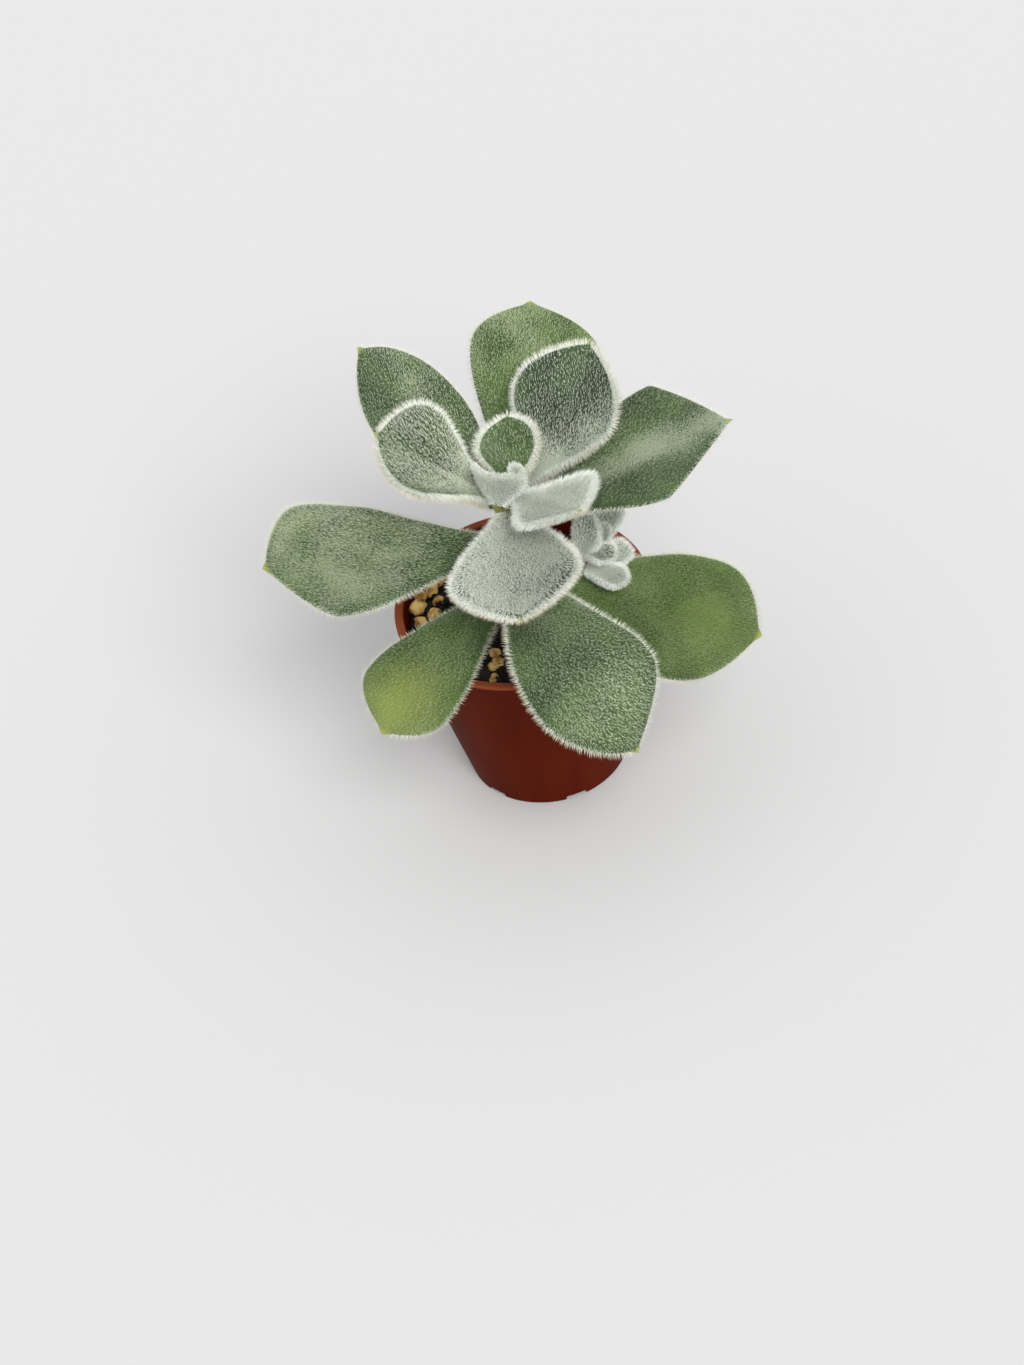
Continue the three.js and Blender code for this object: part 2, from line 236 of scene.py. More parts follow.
# %% [markdown]
# What tells the leaves apart, once they have the same form, is their coat. `age` runs from 0, a
# silver young leaf, to 1, a fresh green old one, and `fine` from 0, long stout hair, to 1, short
# thin hair. `coat` says how thickly hair stands on the face, `under` what share of that the
# underside has, `rim` how thickly it stands along the margin, and `frost` how white the felt on the
# skin is between the hairs. `pale_root` whitens the blade towards its root, `streak` along its
# middle and `lean` towards one margin. `warm` is the yellow-green flush of a leaf in the sun, and
# `painted_bounce_and_shade` how far the underside hair is painted from white to beige, as painted warm
# bounced light and shade. `pucker` is how uneven the blade is and `rib` how deep the groove of its
# midrib, both in millimetres, where less than nothing makes a ridge. `parting` is how clearly the hair
# parts just inside the margin.

# %% How each leaf is dressed
DRESS = dict(age=0.5, fine=0.5, coat=1.0, under=0.3, rim=0.5, frost=0.2, pale_root=0.2, streak=0.0,
             lean=0.0, warm=0.0, painted_bounce_and_shade=1.0, pucker=0.3, rib=0.2, parting=0.0)

LEAF_DRESS = {
    "outer_leaf_right": dict(age=1.0, fine=1.0, coat=1.1, rim=0.15, frost=0.15, pale_root=0.3, warm=0.12),
    "outer_leaf_front_left": dict(age=0.88, fine=0.9, coat=0.45, rim=0.25, frost=0.0, pale_root=-0.2,
                                  warm=0.75),
    "outer_leaf_front": dict(age=0.6, fine=0.85, coat=0.55, rim=0.4, frost=0.0, pale_root=1.0, parting=0.2),
    "outer_leaf_back_left": dict(age=0.6, fine=0.95, coat=0.42, rim=0.2, frost=0.1, lean=-0.2),
    "outer_leaf_left": dict(age=0.65, fine=0.7, coat=0.85, rim=0.08, frost=0.4, pale_root=-0.8,
                            parting=0.5, pucker=0.5, rib=0.3),
    "outer_leaf_back": dict(age=0.9, fine=1.0, coat=0.5, rim=0.15, frost=0.28, pale_root=-1.1),
    "outer_leaf_back_right": dict(age=0.6, fine=1.0, coat=0.32, rim=0.2, frost=-0.1, pale_root=0.0,
                                  streak=2.2, rib=0.4),
    "inner_leaf_front": dict(age=0.1, fine=0.1, coat=1.25, under=0.6, rim=0.65, frost=0.4, parting=0.6),
    "inner_leaf_left": dict(age=0.4, fine=0.6, coat=0.5, under=0.5, rim=0.9, frost=0.0, pale_root=1.3,
                            pucker=0.5, rib=0.6),
    "inner_leaf_back": dict(age=0.3, fine=0.85, coat=0.34, rim=0.8, frost=-0.1, pale_root=1.7, lean=-1.0,
                            pucker=0.4),
    "inner_leaf_right": dict(age=0.05, fine=0.05, coat=1.2, under=0.8, rim=0.9, frost=0.9, painted_bounce_and_shade=0.6,
                             parting=0.4, pucker=0.5, rib=-1.0),
    "heart_leaf_back": dict(age=0.65, fine=0.9, coat=0.33, under=0.8, rim=1.0, frost=-0.1, streak=0.5,
                            pucker=0.1),
}
SMALL_DRESS = dict(age=0.05, fine=0.1, coat=1.0, under=1.0, rim=1.0, frost=0.75, painted_bounce_and_shade=0.1, pucker=0.1,
                   rib=0.1)
OFFSET_DRESS = dict(age=0.1, fine=0.2, coat=0.85, under=1.0, rim=1.0, frost=0.5, painted_bounce_and_shade=0.1, pucker=0.1,
                    rib=0.1)
print("dressed leaves:", len(LEAF_DRESS))

# %% [markdown]
# The main stem leans a little from the soil to the crown, and a large leaf starts on its surface.

# %% Where the leaves start
SOIL_LEVEL = 42
CROWN = Vector((0.8, -0.5, 77))
STEM_RADIUS = 3
SEAT_GAP = 0.3
OFFSET_SOIL = Vector((15, 6, 33))
OFFSET_CROWN = Vector((16.4, -1.8, 57))


def stem_point(height):
    k = max(0.0, (height - SOIL_LEVEL) / (CROWN.z - SOIL_LEVEL))
    return Vector((CROWN.x * k, CROWN.y * k * k, height))


def offset_point(height):
    k = max(0.0, (height - SOIL_LEVEL) / (OFFSET_CROWN.z - SOIL_LEVEL))
    point = OFFSET_SOIL.lerp(OFFSET_CROWN, k)
    point.z = height
    return point


def leaf_root(leaf):
    az = math.radians(leaf["az"])
    start = STEM_RADIUS + SEAT_GAP + leaf["thick"] * abs(math.sin(math.radians(leaf["rise"])))
    return stem_point(leaf["height"]) + start * Vector((math.cos(az), math.sin(az), 0))


halfway = stem_point((SOIL_LEVEL + CROWN.z) / 2)
print("halfway up, the stem has leaned", round(halfway.x, 2), "and", round(halfway.y, 2), "mm")


# %% [markdown]
# ## The blade as a formula
# Along its spine the leaf has a heading, a half width and a half thickness. The spine is walked in
# small steps, because a heading that turns has no simple formula for where it leads. The flesh is
# two to three millimetres thick, a little less towards the tip, where it closes quickly.

# %% The spine and the outline
SPINE_STEPS = 24
THINNER_TIP = 0.25
QUICK_CLOSE = 8


def heading(leaf, t):
    rise = math.radians(leaf["rise"] + leaf["bend"] * t ** leaf["droop"])
    az = math.radians(leaf["az"] + leaf["sweep"] * t)
    return Vector((math.cos(rise) * math.cos(az), math.cos(rise) * math.sin(az), math.sin(rise)))


def spine_point(leaf, t):
    point = leaf["root"].copy()
    for i in range(SPINE_STEPS):
        point += heading(leaf, (i + 0.5) / SPINE_STEPS * t) * (leaf["length"] * t / SPINE_STEPS)
    return point


def half_width(leaf, t):
    root = leaf["base"] / leaf["half"]
    if t < leaf["wide"]:
        u = t / leaf["wide"]
        rise = (1 - leaf["neck"]) * math.sin(u * math.pi / 2) + leaf["neck"] * u * u * (3 - 2 * u)
        return leaf["half"] * (root + (1 - root) * rise)
    v = (t - leaf["wide"]) / (1 - leaf["wide"])
    return leaf["half"] * (1 - v ** leaf["lobe"]) ** leaf["point"]


def half_thickness(leaf, t):
    return leaf["thick"] * (1 - THINNER_TIP * t) * math.sqrt(1 - t ** QUICK_CLOSE)


for node in ("outer_leaf_front", "inner_leaf_front"):
    widths = [round(half_width({**BLADE, **LARGE_LEAVES[node]}, t), 1) for t in (0.25, 0.5, 0.75)]
    print(node, "half widths", widths)

# %% [markdown]
# Across the leaf, the section is bent to a trough by `cup`, opened to a valley by `crease`, and
# closed by a rounded rim, because the flesh is thick right to its margin. The trough is flattest at
# the root and the tip. `SOFT_VALLEY` rounds the bottom of the valley, as flesh does.

# %% The section across the blade
SOFT_VALLEY = 0.25
VALLEY_FADE = 0.6
FULL_RIM = 0.7
SLOPE_STEP = 0.01
TROUGH_ENDS = (0.02, 0.98)


def outline_slope(leaf, t):
    low = max(0.0, t - SLOPE_STEP)
    high = min(1 - SLOPE_STEP / 10, t + SLOPE_STEP)
    return (half_width(leaf, high) - half_width(leaf, low)) / ((high - low) * leaf["length"])


def ring_frame(leaf, t):
    along = heading(leaf, t)
    az = math.radians(leaf["az"] + leaf["sweep"] * t)
    side = Vector((-math.sin(az), math.cos(az), 0))
    side.rotate(Matrix.Rotation(math.radians(leaf["roll"]), 3, along))
    low, high = TROUGH_ENDS
    cup = math.radians(leaf["cup"]) * math.sqrt(math.sin(math.pi * min(max(t, low), high)))
    return dict(t=t, spine=spine_point(leaf, t), along=along, side=side, up=along.cross(side),
                width=half_width(leaf, t), skin=half_thickness(leaf, t), cup=cup,
                slope=outline_slope(leaf, t))


def section_point(leaf, ring, around):
    across = math.cos(around)
    upper = math.sin(around)
    skin = ring["skin"] * math.copysign(abs(upper) ** FULL_RIM, upper)
    turn = ring["cup"] * across
    valley = (math.hypot(across, SOFT_VALLEY) - SOFT_VALLEY) / (math.hypot(1, SOFT_VALLEY) - SOFT_VALLEY)
    sideways = ring["width"] * math.sin(turn) / ring["cup"] - skin * math.sin(turn)
    lift = ring["width"] * (1 - math.cos(turn)) / ring["cup"]
    lift += leaf["crease"] * valley * ring["width"] * (1 - VALLEY_FADE * ring["t"])
    return ring["spine"] + ring["side"] * sideways + ring["up"] * (lift + skin * math.cos(turn))


print("a valley is rounded over", SOFT_VALLEY, "of the half width")


# %% [markdown]
# ## Where the hair stands
# The hair is the look of this plant. On the faces of a leaf it leans outwards and towards the tip.
# Towards the margin it turns outwards, and on the margin it stands straight out, longer and much
# closer, and seen edge-on it makes the white band round every leaf. These are its measures, where
# lengths and widths are in millimetres, and a pair of numbers runs from a leaf of the one kind to a
# leaf of the other: long hair to fine hair on a face, a thin margin to a thick one on a rim. The rest
# are shares, such as how much of its hair the tip loses and how young the hair on a rim looks.

# %% Measures of the coat
RIM_BAND = (0.4, 1.0)
RIM_FULL = 0.35
WIDEST_BAND = 0.25
RIM_HAIRS = 1.45
ROOT_HAIRS = 0.7
PARTING_AT = 1.7
PARTING_WIDTH = 0.7
FACE_LENGTH = (1.3, 0.55)
RIM_LENGTH = (1.3, 1.8)
STOUT = (1.4, 0.55)
RIM_STOUT = 1.0
BARE_TIP = (0.985, 0.998)
STREAK_WIDTH = 5.5
PATCHES_PER_MM = 0.12
SPOTS_PER_MM = 0.35
SPOT_SHARE = 0.3
PATCHINESS = 0.45
BALDEST = 0.3
PALE_ROOT_END = 0.7
TIP_LOSES = 0.9
FROST_PATCHES = 0.3
FROST_ROOT = 0.5
PARTED = 0.8
RIM_FROST = 0.9
PLAIN_EDGE = 0.2
RIM_YOUNG = (0.8, 0.45)
LEAN_OUT = 0.35
TURNED_NEAR = 0.35
RIM_PULL = 1.3
print("hair on a face is", FACE_LENGTH, "mm long, and on a margin", RIM_LENGTH, "mm")

# %% [markdown]
# The coat could be painted by hand, but a dozen leaves are dressed sooner by a rule. So each corner
# of the blade works out how thickly the hair grows there (`fuzz`), how long (`shag`) and how stout
# it is, and which way it lies. A slow noise makes the coat uneven, as rubbing and growth do.

# %% The coat at one place on the blade
def leaf_noise(leaf, point, scale):
    return noise.noise(Vector(point) * scale + Vector((leaf["az"], leaf["length"], leaf["rise"])))


def coat_at(leaf, ring, point, across, upper):
    t = ring["t"]
    fine = leaf["fine"]
    inside = ring["width"] * (1 - abs(across))
    band = min(mix(*RIM_BAND, leaf["rim"]), WIDEST_BAND * leaf["half"])
    rim = 1 - smooth(inside, RIM_FULL * band, band)
    part = leaf["parting"] * math.exp(-((inside - PARTING_AT) / PARTING_WIDTH) ** 2)
    part *= smooth(t, 0.2, 0.5) * smooth(upper, 0.0, 0.3)
    middle = math.exp(-(across * ring["width"] / STREAK_WIDTH) ** 2)
    patches = leaf_noise(leaf, point, PATCHES_PER_MM) + SPOT_SHARE * leaf_noise(leaf, point, SPOTS_PER_MM)
    patches += leaf["lean"] * across + leaf["streak"] * middle
    near_root = leaf["pale_root"] * (1 - smooth(t, 0.0, PALE_ROOT_END))
    face = leaf["coat"] * mix(leaf["under"], 1.0, smooth(upper, -0.3, 0.2))
    face *= mix(ROOT_HAIRS, 1.0, smooth(t, 0.0, 0.2)) * max(BALDEST, 1 + PATCHINESS * patches + near_root)
    fuzz = face * (1 - rim) * (1 - part) + rim * mix(leaf["coat"], RIM_HAIRS, leaf["rim"])
    fuzz *= 1 - TIP_LOSES * smooth(t, *BARE_TIP)
    frost = leaf["frost"] + FROST_PATCHES * patches + FROST_ROOT * near_root
    frost = min(1.0, max(0.0, frost)) * (1 - PARTED * part)
    frost = max(frost, RIM_FROST * rim * leaf["rim"])
    edge = rim * (PLAIN_EDGE + (1 - PLAIN_EDGE) * leaf["rim"])
    shag = mix(mix(*FACE_LENGTH, fine), mix(*RIM_LENGTH, leaf["rim"]), rim)
    shag *= min(1.0, leaf["half"] / 10 + 0.2)
    turned = TURNED_NEAR * (1 - smooth(inside, band, 4 * band)) + (1 - TURNED_NEAR) * rim
    stout = mix(mix(*STOUT, math.sqrt(fine)), RIM_STOUT, edge)
    age = leaf["age"] * (1 - max(RIM_YOUNG[0] * edge, RIM_YOUNG[1] * rim))
    return hair_lie(ring, across, turned), dict(age=age, fuzz=fuzz, frost=frost, shag=shag, stout=stout)


def hair_lie(ring, across, turned):
    outwards = ring["side"] * math.copysign(1, across) - ring["along"] * ring["slope"]
    face = ring["along"] + ring["side"] * across * LEAN_OUT
    return face.lerp(outwards.normalized() * RIM_PULL, turned)


print("the coat is uneven over about", round(1 / PATCHES_PER_MM), "mm")


# %% [markdown]
# A UV sphere is the right start for such a closed blade: one pole becomes the root, the other the
# little point at the tip, and each ring between becomes one section. No face is lost at the poles
# and the blade is closed by itself. The rings stand closer towards the tip, where the outline turns
# fastest. A real blade is also a little puckered, with a shallow groove over its midrib.

# %% From a sphere to a blade
ROWS = 64
SIDES = 44
CLOSER_TIP = 1.5
LAST_SECTION = 0.988
POINTED = 0.8
SUNK_ROOT = 0.6
FLOATS = ("along", "upper", "age", "flush", "frost", "fuzz", "shag", "stout")


def new_leaf_bmesh():
    bm = bmesh.new()
    for name in FLOATS:
        bm.verts.layers.float.new(name)
    bm.verts.layers.float_vector.new("lie")
    return bm


def set_values(bm, vert, lie, **floats):
    vert[bm.verts.layers.float_vector["lie"]] = lie
    for name, value in floats.items():
        vert[bm.verts.layers.float[name]] = value


RIB_WIDTH = 1.3
PUCKERS_PER_MM = 0.16
CRINKLES_PER_MM = 0.45
CRINKLE = 0.35


def unevenness(leaf, ring, point, across, upper):
    bumps = leaf_noise(leaf, point, PUCKERS_PER_MM) + CRINKLE * leaf_noise(leaf, point, CRINKLES_PER_MM)
    bumps = leaf["pucker"] * bumps
    groove = math.exp(-(across * ring["width"] / RIB_WIDTH) ** 2)
    return bumps - leaf["rib"] * groove * max(0, upper)


FLUSH_AT = 0.84
FLUSH_LONG = 0.2
FLUSH_WIDE = 0.75
FLUSH_SPOT = 0.6
FLUSH_TIP = 0.35
TIP_FROM = 0.8


def flush_of(along, across):
    spot = math.exp(-((along - FLUSH_AT) / FLUSH_LONG) ** 2 - (across / FLUSH_WIDE) ** 2)
    return min(1.0, FLUSH_SPOT * spot + FLUSH_TIP * max(0.0, along - TIP_FROM) / FLUSH_LONG)


def blade_vertex(leaf, rings, row, around):
    ring = rings[row]
    if row == 0:
        return leaf["root"] - ring["along"] * SUNK_ROOT
    t = ring["t"]
    if t <= LAST_SECTION:
        return section_point(leaf, ring, around)
    share = (t - LAST_SECTION) / (1 - LAST_SECTION)
    last = leaf["last"]
    point = last["spine"] + last["along"] * (leaf["tip"] + leaf["length"] * (1 - LAST_SECTION)) * share
    return point + (section_point(leaf, last, around) - last["spine"]) * (1 - share) ** POINTED


def add_blade(bm, settings, root, rows=ROWS, sides=SIDES):
    leaf = {**BLADE, **DRESS, **settings, "root": root}
    leaf["last"] = ring_frame(leaf, LAST_SECTION)
    shares = [max(0, row - 1) / (rows - 1) for row in range(rows + 1)]
    rings = [ring_frame(leaf, 1 - (1 - k) ** CLOSER_TIP) for k in shares]
    made = bmesh.ops.create_uvsphere(bm, u_segments=sides, v_segments=rows, radius=1)
    for vert in made["verts"]:
        row = round(math.acos(min(1, max(-1, vert.co.z))) / math.pi * rows)
        around = math.atan2(vert.co.y, vert.co.x)
        at_pole = row in (0, rows)
        across = 0 if at_pole else math.cos(around)
        upper = 0 if at_pole else math.sin(around)
        ring = rings[row]
        point = blade_vertex(leaf, rings, row, around)
        taper = math.sin(math.pi * min(1, ring["t"] + 0.05)) if ring["t"] < 1 else 0
        point += ring["up"] * unevenness(leaf, ring, point, across, upper) * max(0, taper)
        lie, coat = coat_at(leaf, ring, point, across, upper)
        flush = leaf["warm"] * flush_of(ring["t"], across)
        # Underside hair is painted beige as painted warm bounced light and shade, by this share.
        shown = mix(1.0, upper, leaf["painted_bounce_and_shade"])
        set_values(bm, vert, lie, along=ring["t"], upper=shown, flush=flush, **coat)
        vert.co = point * MM


print("a blade has", ROWS, "rings of", SIDES, "corners")


# %% [markdown]
# ## The skin of the leaves
# Under the hair the leaf is a waxy green skin, greyer on young leaves and fresher on old ones, with
# a yellow-green flush where sun has reached it and a yellow-green point. Between the hairs that show
# one by one lies a felt of finer ones, which is drawn as pale flecks in the colour, because at a
# twentieth of a millimetre they are too fine to model. `frost` says how much of the skin they hide.
# The flecks are about 0.3 mm, coarser than the real felt, so that they show, and the clouds of
# deeper green about 9 mm. A little sheen stands for the down that catches light at a flat angle.
# A pattern's scale is how many of its spots go into a millimetre, turned to metres.

# %% Waxy green leaf skin under a felt of hair
FELT_FLECKS_PER_MM = 3.0
CLOUDS_PER_MM = 0.11


def leaf_skin():
    material, tree, surface = new_material("waxy green leaf skin with fine felt")
    place = add(tree, "ShaderNodeTexCoord", out="Object")
    clouds = {"Vector": place, "Scale": CLOUDS_PER_MM / MM, "Detail": 3.0}
    cloud = add(tree, "ShaderNodeTexNoise", {}, clouds, 0)
    flecks = {"Vector": place, "Scale": FELT_FLECKS_PER_MM / MM, "Detail": 1.0}
    fleck = add(tree, "ShaderNodeTexNoise", {}, flecks, 0)
    kept = ("age", "flush", "frost", "along")
    age, flush, frost, along = [add(tree, "ShaderNodeAttribute", {"attribute_name": name}, out="Fac")
                                for name in kept]
    green = add(tree, "ShaderNodeMix", COLOURS, {0: age, 6: linear("#364a32"), 7: linear("#4c682a")}, 2)
    deep = add(tree, "ShaderNodeMix", COLOURS, {0: age, 6: linear("#1d2c1a"), 7: linear("#2d4919")}, 2)
    patchy = {"Value": cloud, "From Min": 0.35, "From Max": 0.7}
    patchy = add(tree, "ShaderNodeMapRange", SMOOTHLY, patchy, 0)
    ground = add(tree, "ShaderNodeMix", COLOURS, {0: patchy, 6: deep, 7: green}, 2)
    ground = add(tree, "ShaderNodeMix", COLOURS, {0: flush, 6: ground, 7: linear("#a3ae46")}, 2)
    felted = add(tree, "ShaderNodeMix", COLOURS, {0: age, 6: linear("#d2d9d0"), 7: linear("#9fae7c")}, 2)
    bare = add(tree, "ShaderNodeMath", {"operation": "SUBTRACT"}, {0: 0.74, 1: frost}, 0)
    close = add(tree, "ShaderNodeMath", {"operation": "MULTIPLY_ADD"}, {0: bare, 1: 0.6, 2: 0.16}, 0)
    edge = add(tree, "ShaderNodeMath", {"operation": "ADD"}, {0: close, 1: 0.2}, 0)
    felt = {"Value": fleck, "From Min": close, "From Max": edge}
    felt = add(tree, "ShaderNodeMapRange", SMOOTHLY, felt, 0)
    thick = add(tree, "ShaderNodeMath", {"operation": "MULTIPLY_ADD"}, {0: frost, 1: 0.6, 2: 0.2}, 0)
    felt = add(tree, "ShaderNodeMath", TIMES, {0: felt, 1: thick}, 0)
    colour = add(tree, "ShaderNodeMix", COLOURS, {0: felt, 6: ground, 7: felted}, 2)
    tip = {"Value": along, "From Min": BARE_TIP[0], "From Max": BARE_TIP[1]}
    tip = add(tree, "ShaderNodeMapRange", SMOOTHLY, tip, 0)
    colour = add(tree, "ShaderNodeMix", COLOURS, {0: tip, 6: colour, 7: linear("#99a04a")}, 2)
    tree.links.new(colour, surface.inputs["Base Color"])
    surface.inputs["Roughness"].default_value = 0.5
    surface.inputs["IOR"].default_value = 1.4
    surface.inputs["Sheen Weight"].default_value = 0.15
    surface.inputs["Sheen Roughness"].default_value = 0.5
    bump = {"Height": fleck, "Strength": 0.35, "Distance": 0.0002}
    tree.links.new(add(tree, "ShaderNodeBump", {}, bump, 0), surface.inputs["Normal"])
    return material


LEAF_SKIN = leaf_skin()
print("made", LEAF_SKIN.name)


# %% [markdown]
# A plant hair is a dead, air-filled cell: white where light falls on it and a little green where it
# is thin. On the underside it is painted beige, as painted warm bounced light and shade. The colour
# follows the leaf's age, which side the hair grows on, and a random tone that differs from hair to hair.

# %% White plant hair
HAIR_READS = ("age", "upper", "tone")


def plant_hair():
    material, tree, surface = new_material("white plant hair")
    age, upper, tone = [add(tree, "ShaderNodeAttribute", {"attribute_name": name}, out="Fac")
                        for name in HAIR_READS]
    above = add(tree, "ShaderNodeMix", COLOURS, {0: age, 6: linear("#fdfefa"), 7: linear("#b4bf8a")}, 2)
    # The beige underside colours are painted warm bounced light and shade, not the hair's own colour.
    below = add(tree, "ShaderNodeMix", COLOURS, {0: age, 6: linear("#f1e4d3"), 7: linear("#dfcbb2")}, 2)
    side = {"Value": upper, "From Min": -0.4, "From Max": 0.2}
    side = add(tree, "ShaderNodeMapRange", SMOOTHLY, side, 0)
    colour = add(tree, "ShaderNodeMix", COLOURS, {0: side, 6: below, 7: above}, 2)
    colour = add(tree, "ShaderNodeMix", COLOURS, {0: tone, 6: linear("#98a27f"), 7: colour}, 2)
    tree.links.new(colour, surface.inputs["Base Color"])
    surface.inputs["Roughness"].default_value = 0.55
    surface.inputs["IOR"].default_value = 1.4
    return material


PLANT_HAIR = plant_hair()
print("made", PLANT_HAIR.name)

# %% [markdown]
# ## One hair, and a tree that sows it
# A hair is modelled once, as a thin three-sided spike with a closed foot, because it is repeated
# many thousands of times. Real hairs are about 0.05 mm thick. The spike is 0.16 mm thick, and its
# stoutness makes it 0.09 to 0.22 mm, so that the hairs show though there are fewer of them. Hair
# curves would be lighter to render, but they aren't a mesh, so spikes are sown over the blade by
# geometry nodes and kept as plain mesh. The foot goes a little way into the skin.

# %% The spike
HAIR_WIDTH = 0.16
HAIR_FOOT = -0.08


def hair_spike():
    bm = bmesh.new()
    bmesh.ops.create_cone(bm, cap_ends=True, segments=3, radius1=HAIR_WIDTH / 2 * MM, radius2=0, depth=MM)
    bmesh.ops.remove_doubles(bm, verts=bm.verts, dist=MM / 1000)
    bmesh.ops.translate(bm, verts=bm.verts, vec=(0, 0, (0.5 + HAIR_FOOT) * MM))
    mesh = bpy.data.meshes.new("hair_spike")
    bm.to_mesh(mesh)
    print("one hair has", len(bm.faces), "faces and", len(bm.verts), "corners")
    bm.free()
    spike = bpy.data.objects.new("hair_spike", mesh)
    bpy.context.scene.collection.objects.link(spike)
    return spike


SPIKE = hair_spike()


# %% [markdown]
# Placing thousands of hairs one by one in Python would be slow, and geometry nodes do it at once.
# The tree scatters points as thickly as `fuzz` says, leans each hair from the skin's normal towards
# the way it lies there, ruffles it, and gives it its length, its stoutness and a tone of its own.
# Every draw has a seed, so the coat is the same each time.

# %% The sowing tree
HAIR_REACH = (0.6, 1.15)
HAIR_TONES = (0.6, 1.0)
VECTOR_SCALE = {"operation": "SCALE"}
VECTOR_ADD = {"operation": "ADD"}


def hair_tree(density, lift, ruffle, seed):
    tree = bpy.data.node_groups.new("sow hair", "GeometryNodeTree")
    tree.interface.new_socket("Leaf", in_out="INPUT", socket_type="NodeSocketGeometry")
    tree.interface.new_socket("Hair", in_out="OUTPUT", socket_type="NodeSocketGeometry")
    leaf = add(tree, "NodeGroupInput", out=0)
    number = {"data_type": "FLOAT"}
    fuzz, shag, stout = [add(tree, "GeometryNodeInputNamedAttribute", number, {"Name": name}, 0)
                         for name in ("fuzz", "shag", "stout")]
    lie = add(tree, "GeometryNodeInputNamedAttribute", {"data_type": "FLOAT_VECTOR"}, {"Name": "lie"}, 0)
    per_area = add(tree, "ShaderNodeMath", TIMES, {0: fuzz, 1: density / MM ** 2}, 0)
    sown = add(tree, "GeometryNodeDistributePointsOnFaces", {"distribute_method": "RANDOM"},
               {"Mesh": leaf, "Density": per_area, "Seed": seed})
    raised = add(tree, "ShaderNodeVectorMath", VECTOR_SCALE, {0: sown.outputs["Normal"], "Scale": lift}, 0)
    jitter = add(tree, "FunctionNodeRandomValue", {"data_type": "FLOAT_VECTOR"},
                 {"Min": (-ruffle,) * 3, "Max": (ruffle,) * 3, "Seed": seed + 1}, 0)
    lying = add(tree, "ShaderNodeVectorMath", VECTOR_ADD, {0: lie, 1: jitter}, 0)
    heading_out = add(tree, "ShaderNodeVectorMath", VECTOR_ADD, {0: raised, 1: lying}, 0)
    turned = add(tree, "FunctionNodeAlignRotationToVector", {"axis": "Z"}, {"Vector": heading_out}, 0)
    chance = add(tree, "FunctionNodeRandomValue", {"data_type": "FLOAT"},
                 {"Min": HAIR_REACH[0], "Max": HAIR_REACH[1], "Seed": seed + 2}, 1)
    reach = add(tree, "ShaderNodeMath", TIMES, {0: shag, 1: chance}, 0)
    size = add(tree, "ShaderNodeCombineXYZ", {}, {"X": stout, "Y": stout, "Z": reach}, 0)
    tone = add(tree, "FunctionNodeRandomValue", {"data_type": "FLOAT"},
               {"Min": HAIR_TONES[0], "Max": HAIR_TONES[1], "Seed": seed + 3}, 1)
    toned = add(tree, "GeometryNodeStoreNamedAttribute", {"data_type": "FLOAT", "domain": "POINT"},
                {"Geometry": sown.outputs["Points"], "Name": "tone", "Value": tone}, 0)
    spike = add(tree, "GeometryNodeObjectInfo", {}, {"Object": SPIKE}, "Geometry")
    placed = add(tree, "GeometryNodeInstanceOnPoints", {},
                 {"Points": toned, "Instance": spike, "Rotation": turned, "Scale": size}, 0)
    real = add(tree, "GeometryNodeRealizeInstances", {}, {0: placed}, 0)
    add(tree, "NodeGroupOutput", {}, {0: real})
    return tree


print("a hair has", HAIR_REACH, "of the length that its place asks for")


# %% [markdown]
# The tree runs as a modifier on the blade, its result is taken once as a plain mesh of its own, and
# the modifier goes again, so the blade stays bare. Whatever the hair's material doesn't read is
# dropped, which keeps the file light. The density is in hairs to the square millimetre where `fuzz`
# is 1. A small leaf's coat is closer, so the heart and the offset get a higher one further down.

# %% Grow the hair on a piece
LEAF_HAIRS = 14.0
HEART_HAIRS = 19.0
OFFSET_HAIRS = 17.0
STEM_HAIRS = 5.0
LIFT = 0.6
RUFFLE = 0.18


def grow_hair(blade, name, density, seed, lift=LIFT, ruffle=RUFFLE):
    tree = hair_tree(density, lift, ruffle, seed)
    sower = blade.modifiers.new("sow hair", "NODES")
    sower.node_group = tree
    graph = bpy.context.evaluated_depsgraph_get()
    mesh = bpy.data.meshes.new_from_object(blade.evaluated_get(graph), depsgraph=graph)
    blade.modifiers.remove(sower)
    bpy.data.node_groups.remove(tree)
    for layer in (*FLOATS, "lie"):
        if layer not in HAIR_READS:
            mesh.attributes.remove(mesh.attributes[layer])
    mesh.name = name
    mesh.materials.clear()
    mesh.materials.append(PLANT_HAIR)
    coat = bpy.data.objects.new(name, mesh)
    bpy.context.scene.collection.objects.link(coat)
    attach(coat, "root")
    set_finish(coat, blade["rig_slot"])
    return coat


print("hairs to the square millimetre:", LEAF_HAIRS, "on a leaf and", STEM_HAIRS, "on a stem")


# %% [markdown]
# ## The large leaves
# Each large leaf of the plant is one piece of flesh, so here it is one blade with a coat of its own,
# and it stands in for its leaf in the construction. The coat is a second piece, because its material
# differs from the skin's and because the skin alone is what someone may want to change later.

# %% Build the large leaves
for number, (node, sizes) in enumerate(LARGE_LEAVES.items()):
    bm = new_leaf_bmesh()
    settings = {**BLADE, **DRESS, **sizes, **LEAF_DRESS[node]}
    add_blade(bm, settings, leaf_root(settings))
    bmesh.ops.recalc_face_normals(bm, faces=bm.faces)
    slot = "heart" if node == "heart_leaf_back" else "leaf"
    blade = piece_from(bm, "skin_of_" + node, LEAF_SKIN, slot, [node])
    coat = grow_hair(blade, "hair_of_" + node, LEAF_HAIRS, seed=10 * number)
    print(node, "skin", triangles(blade), "hair", triangles(coat))

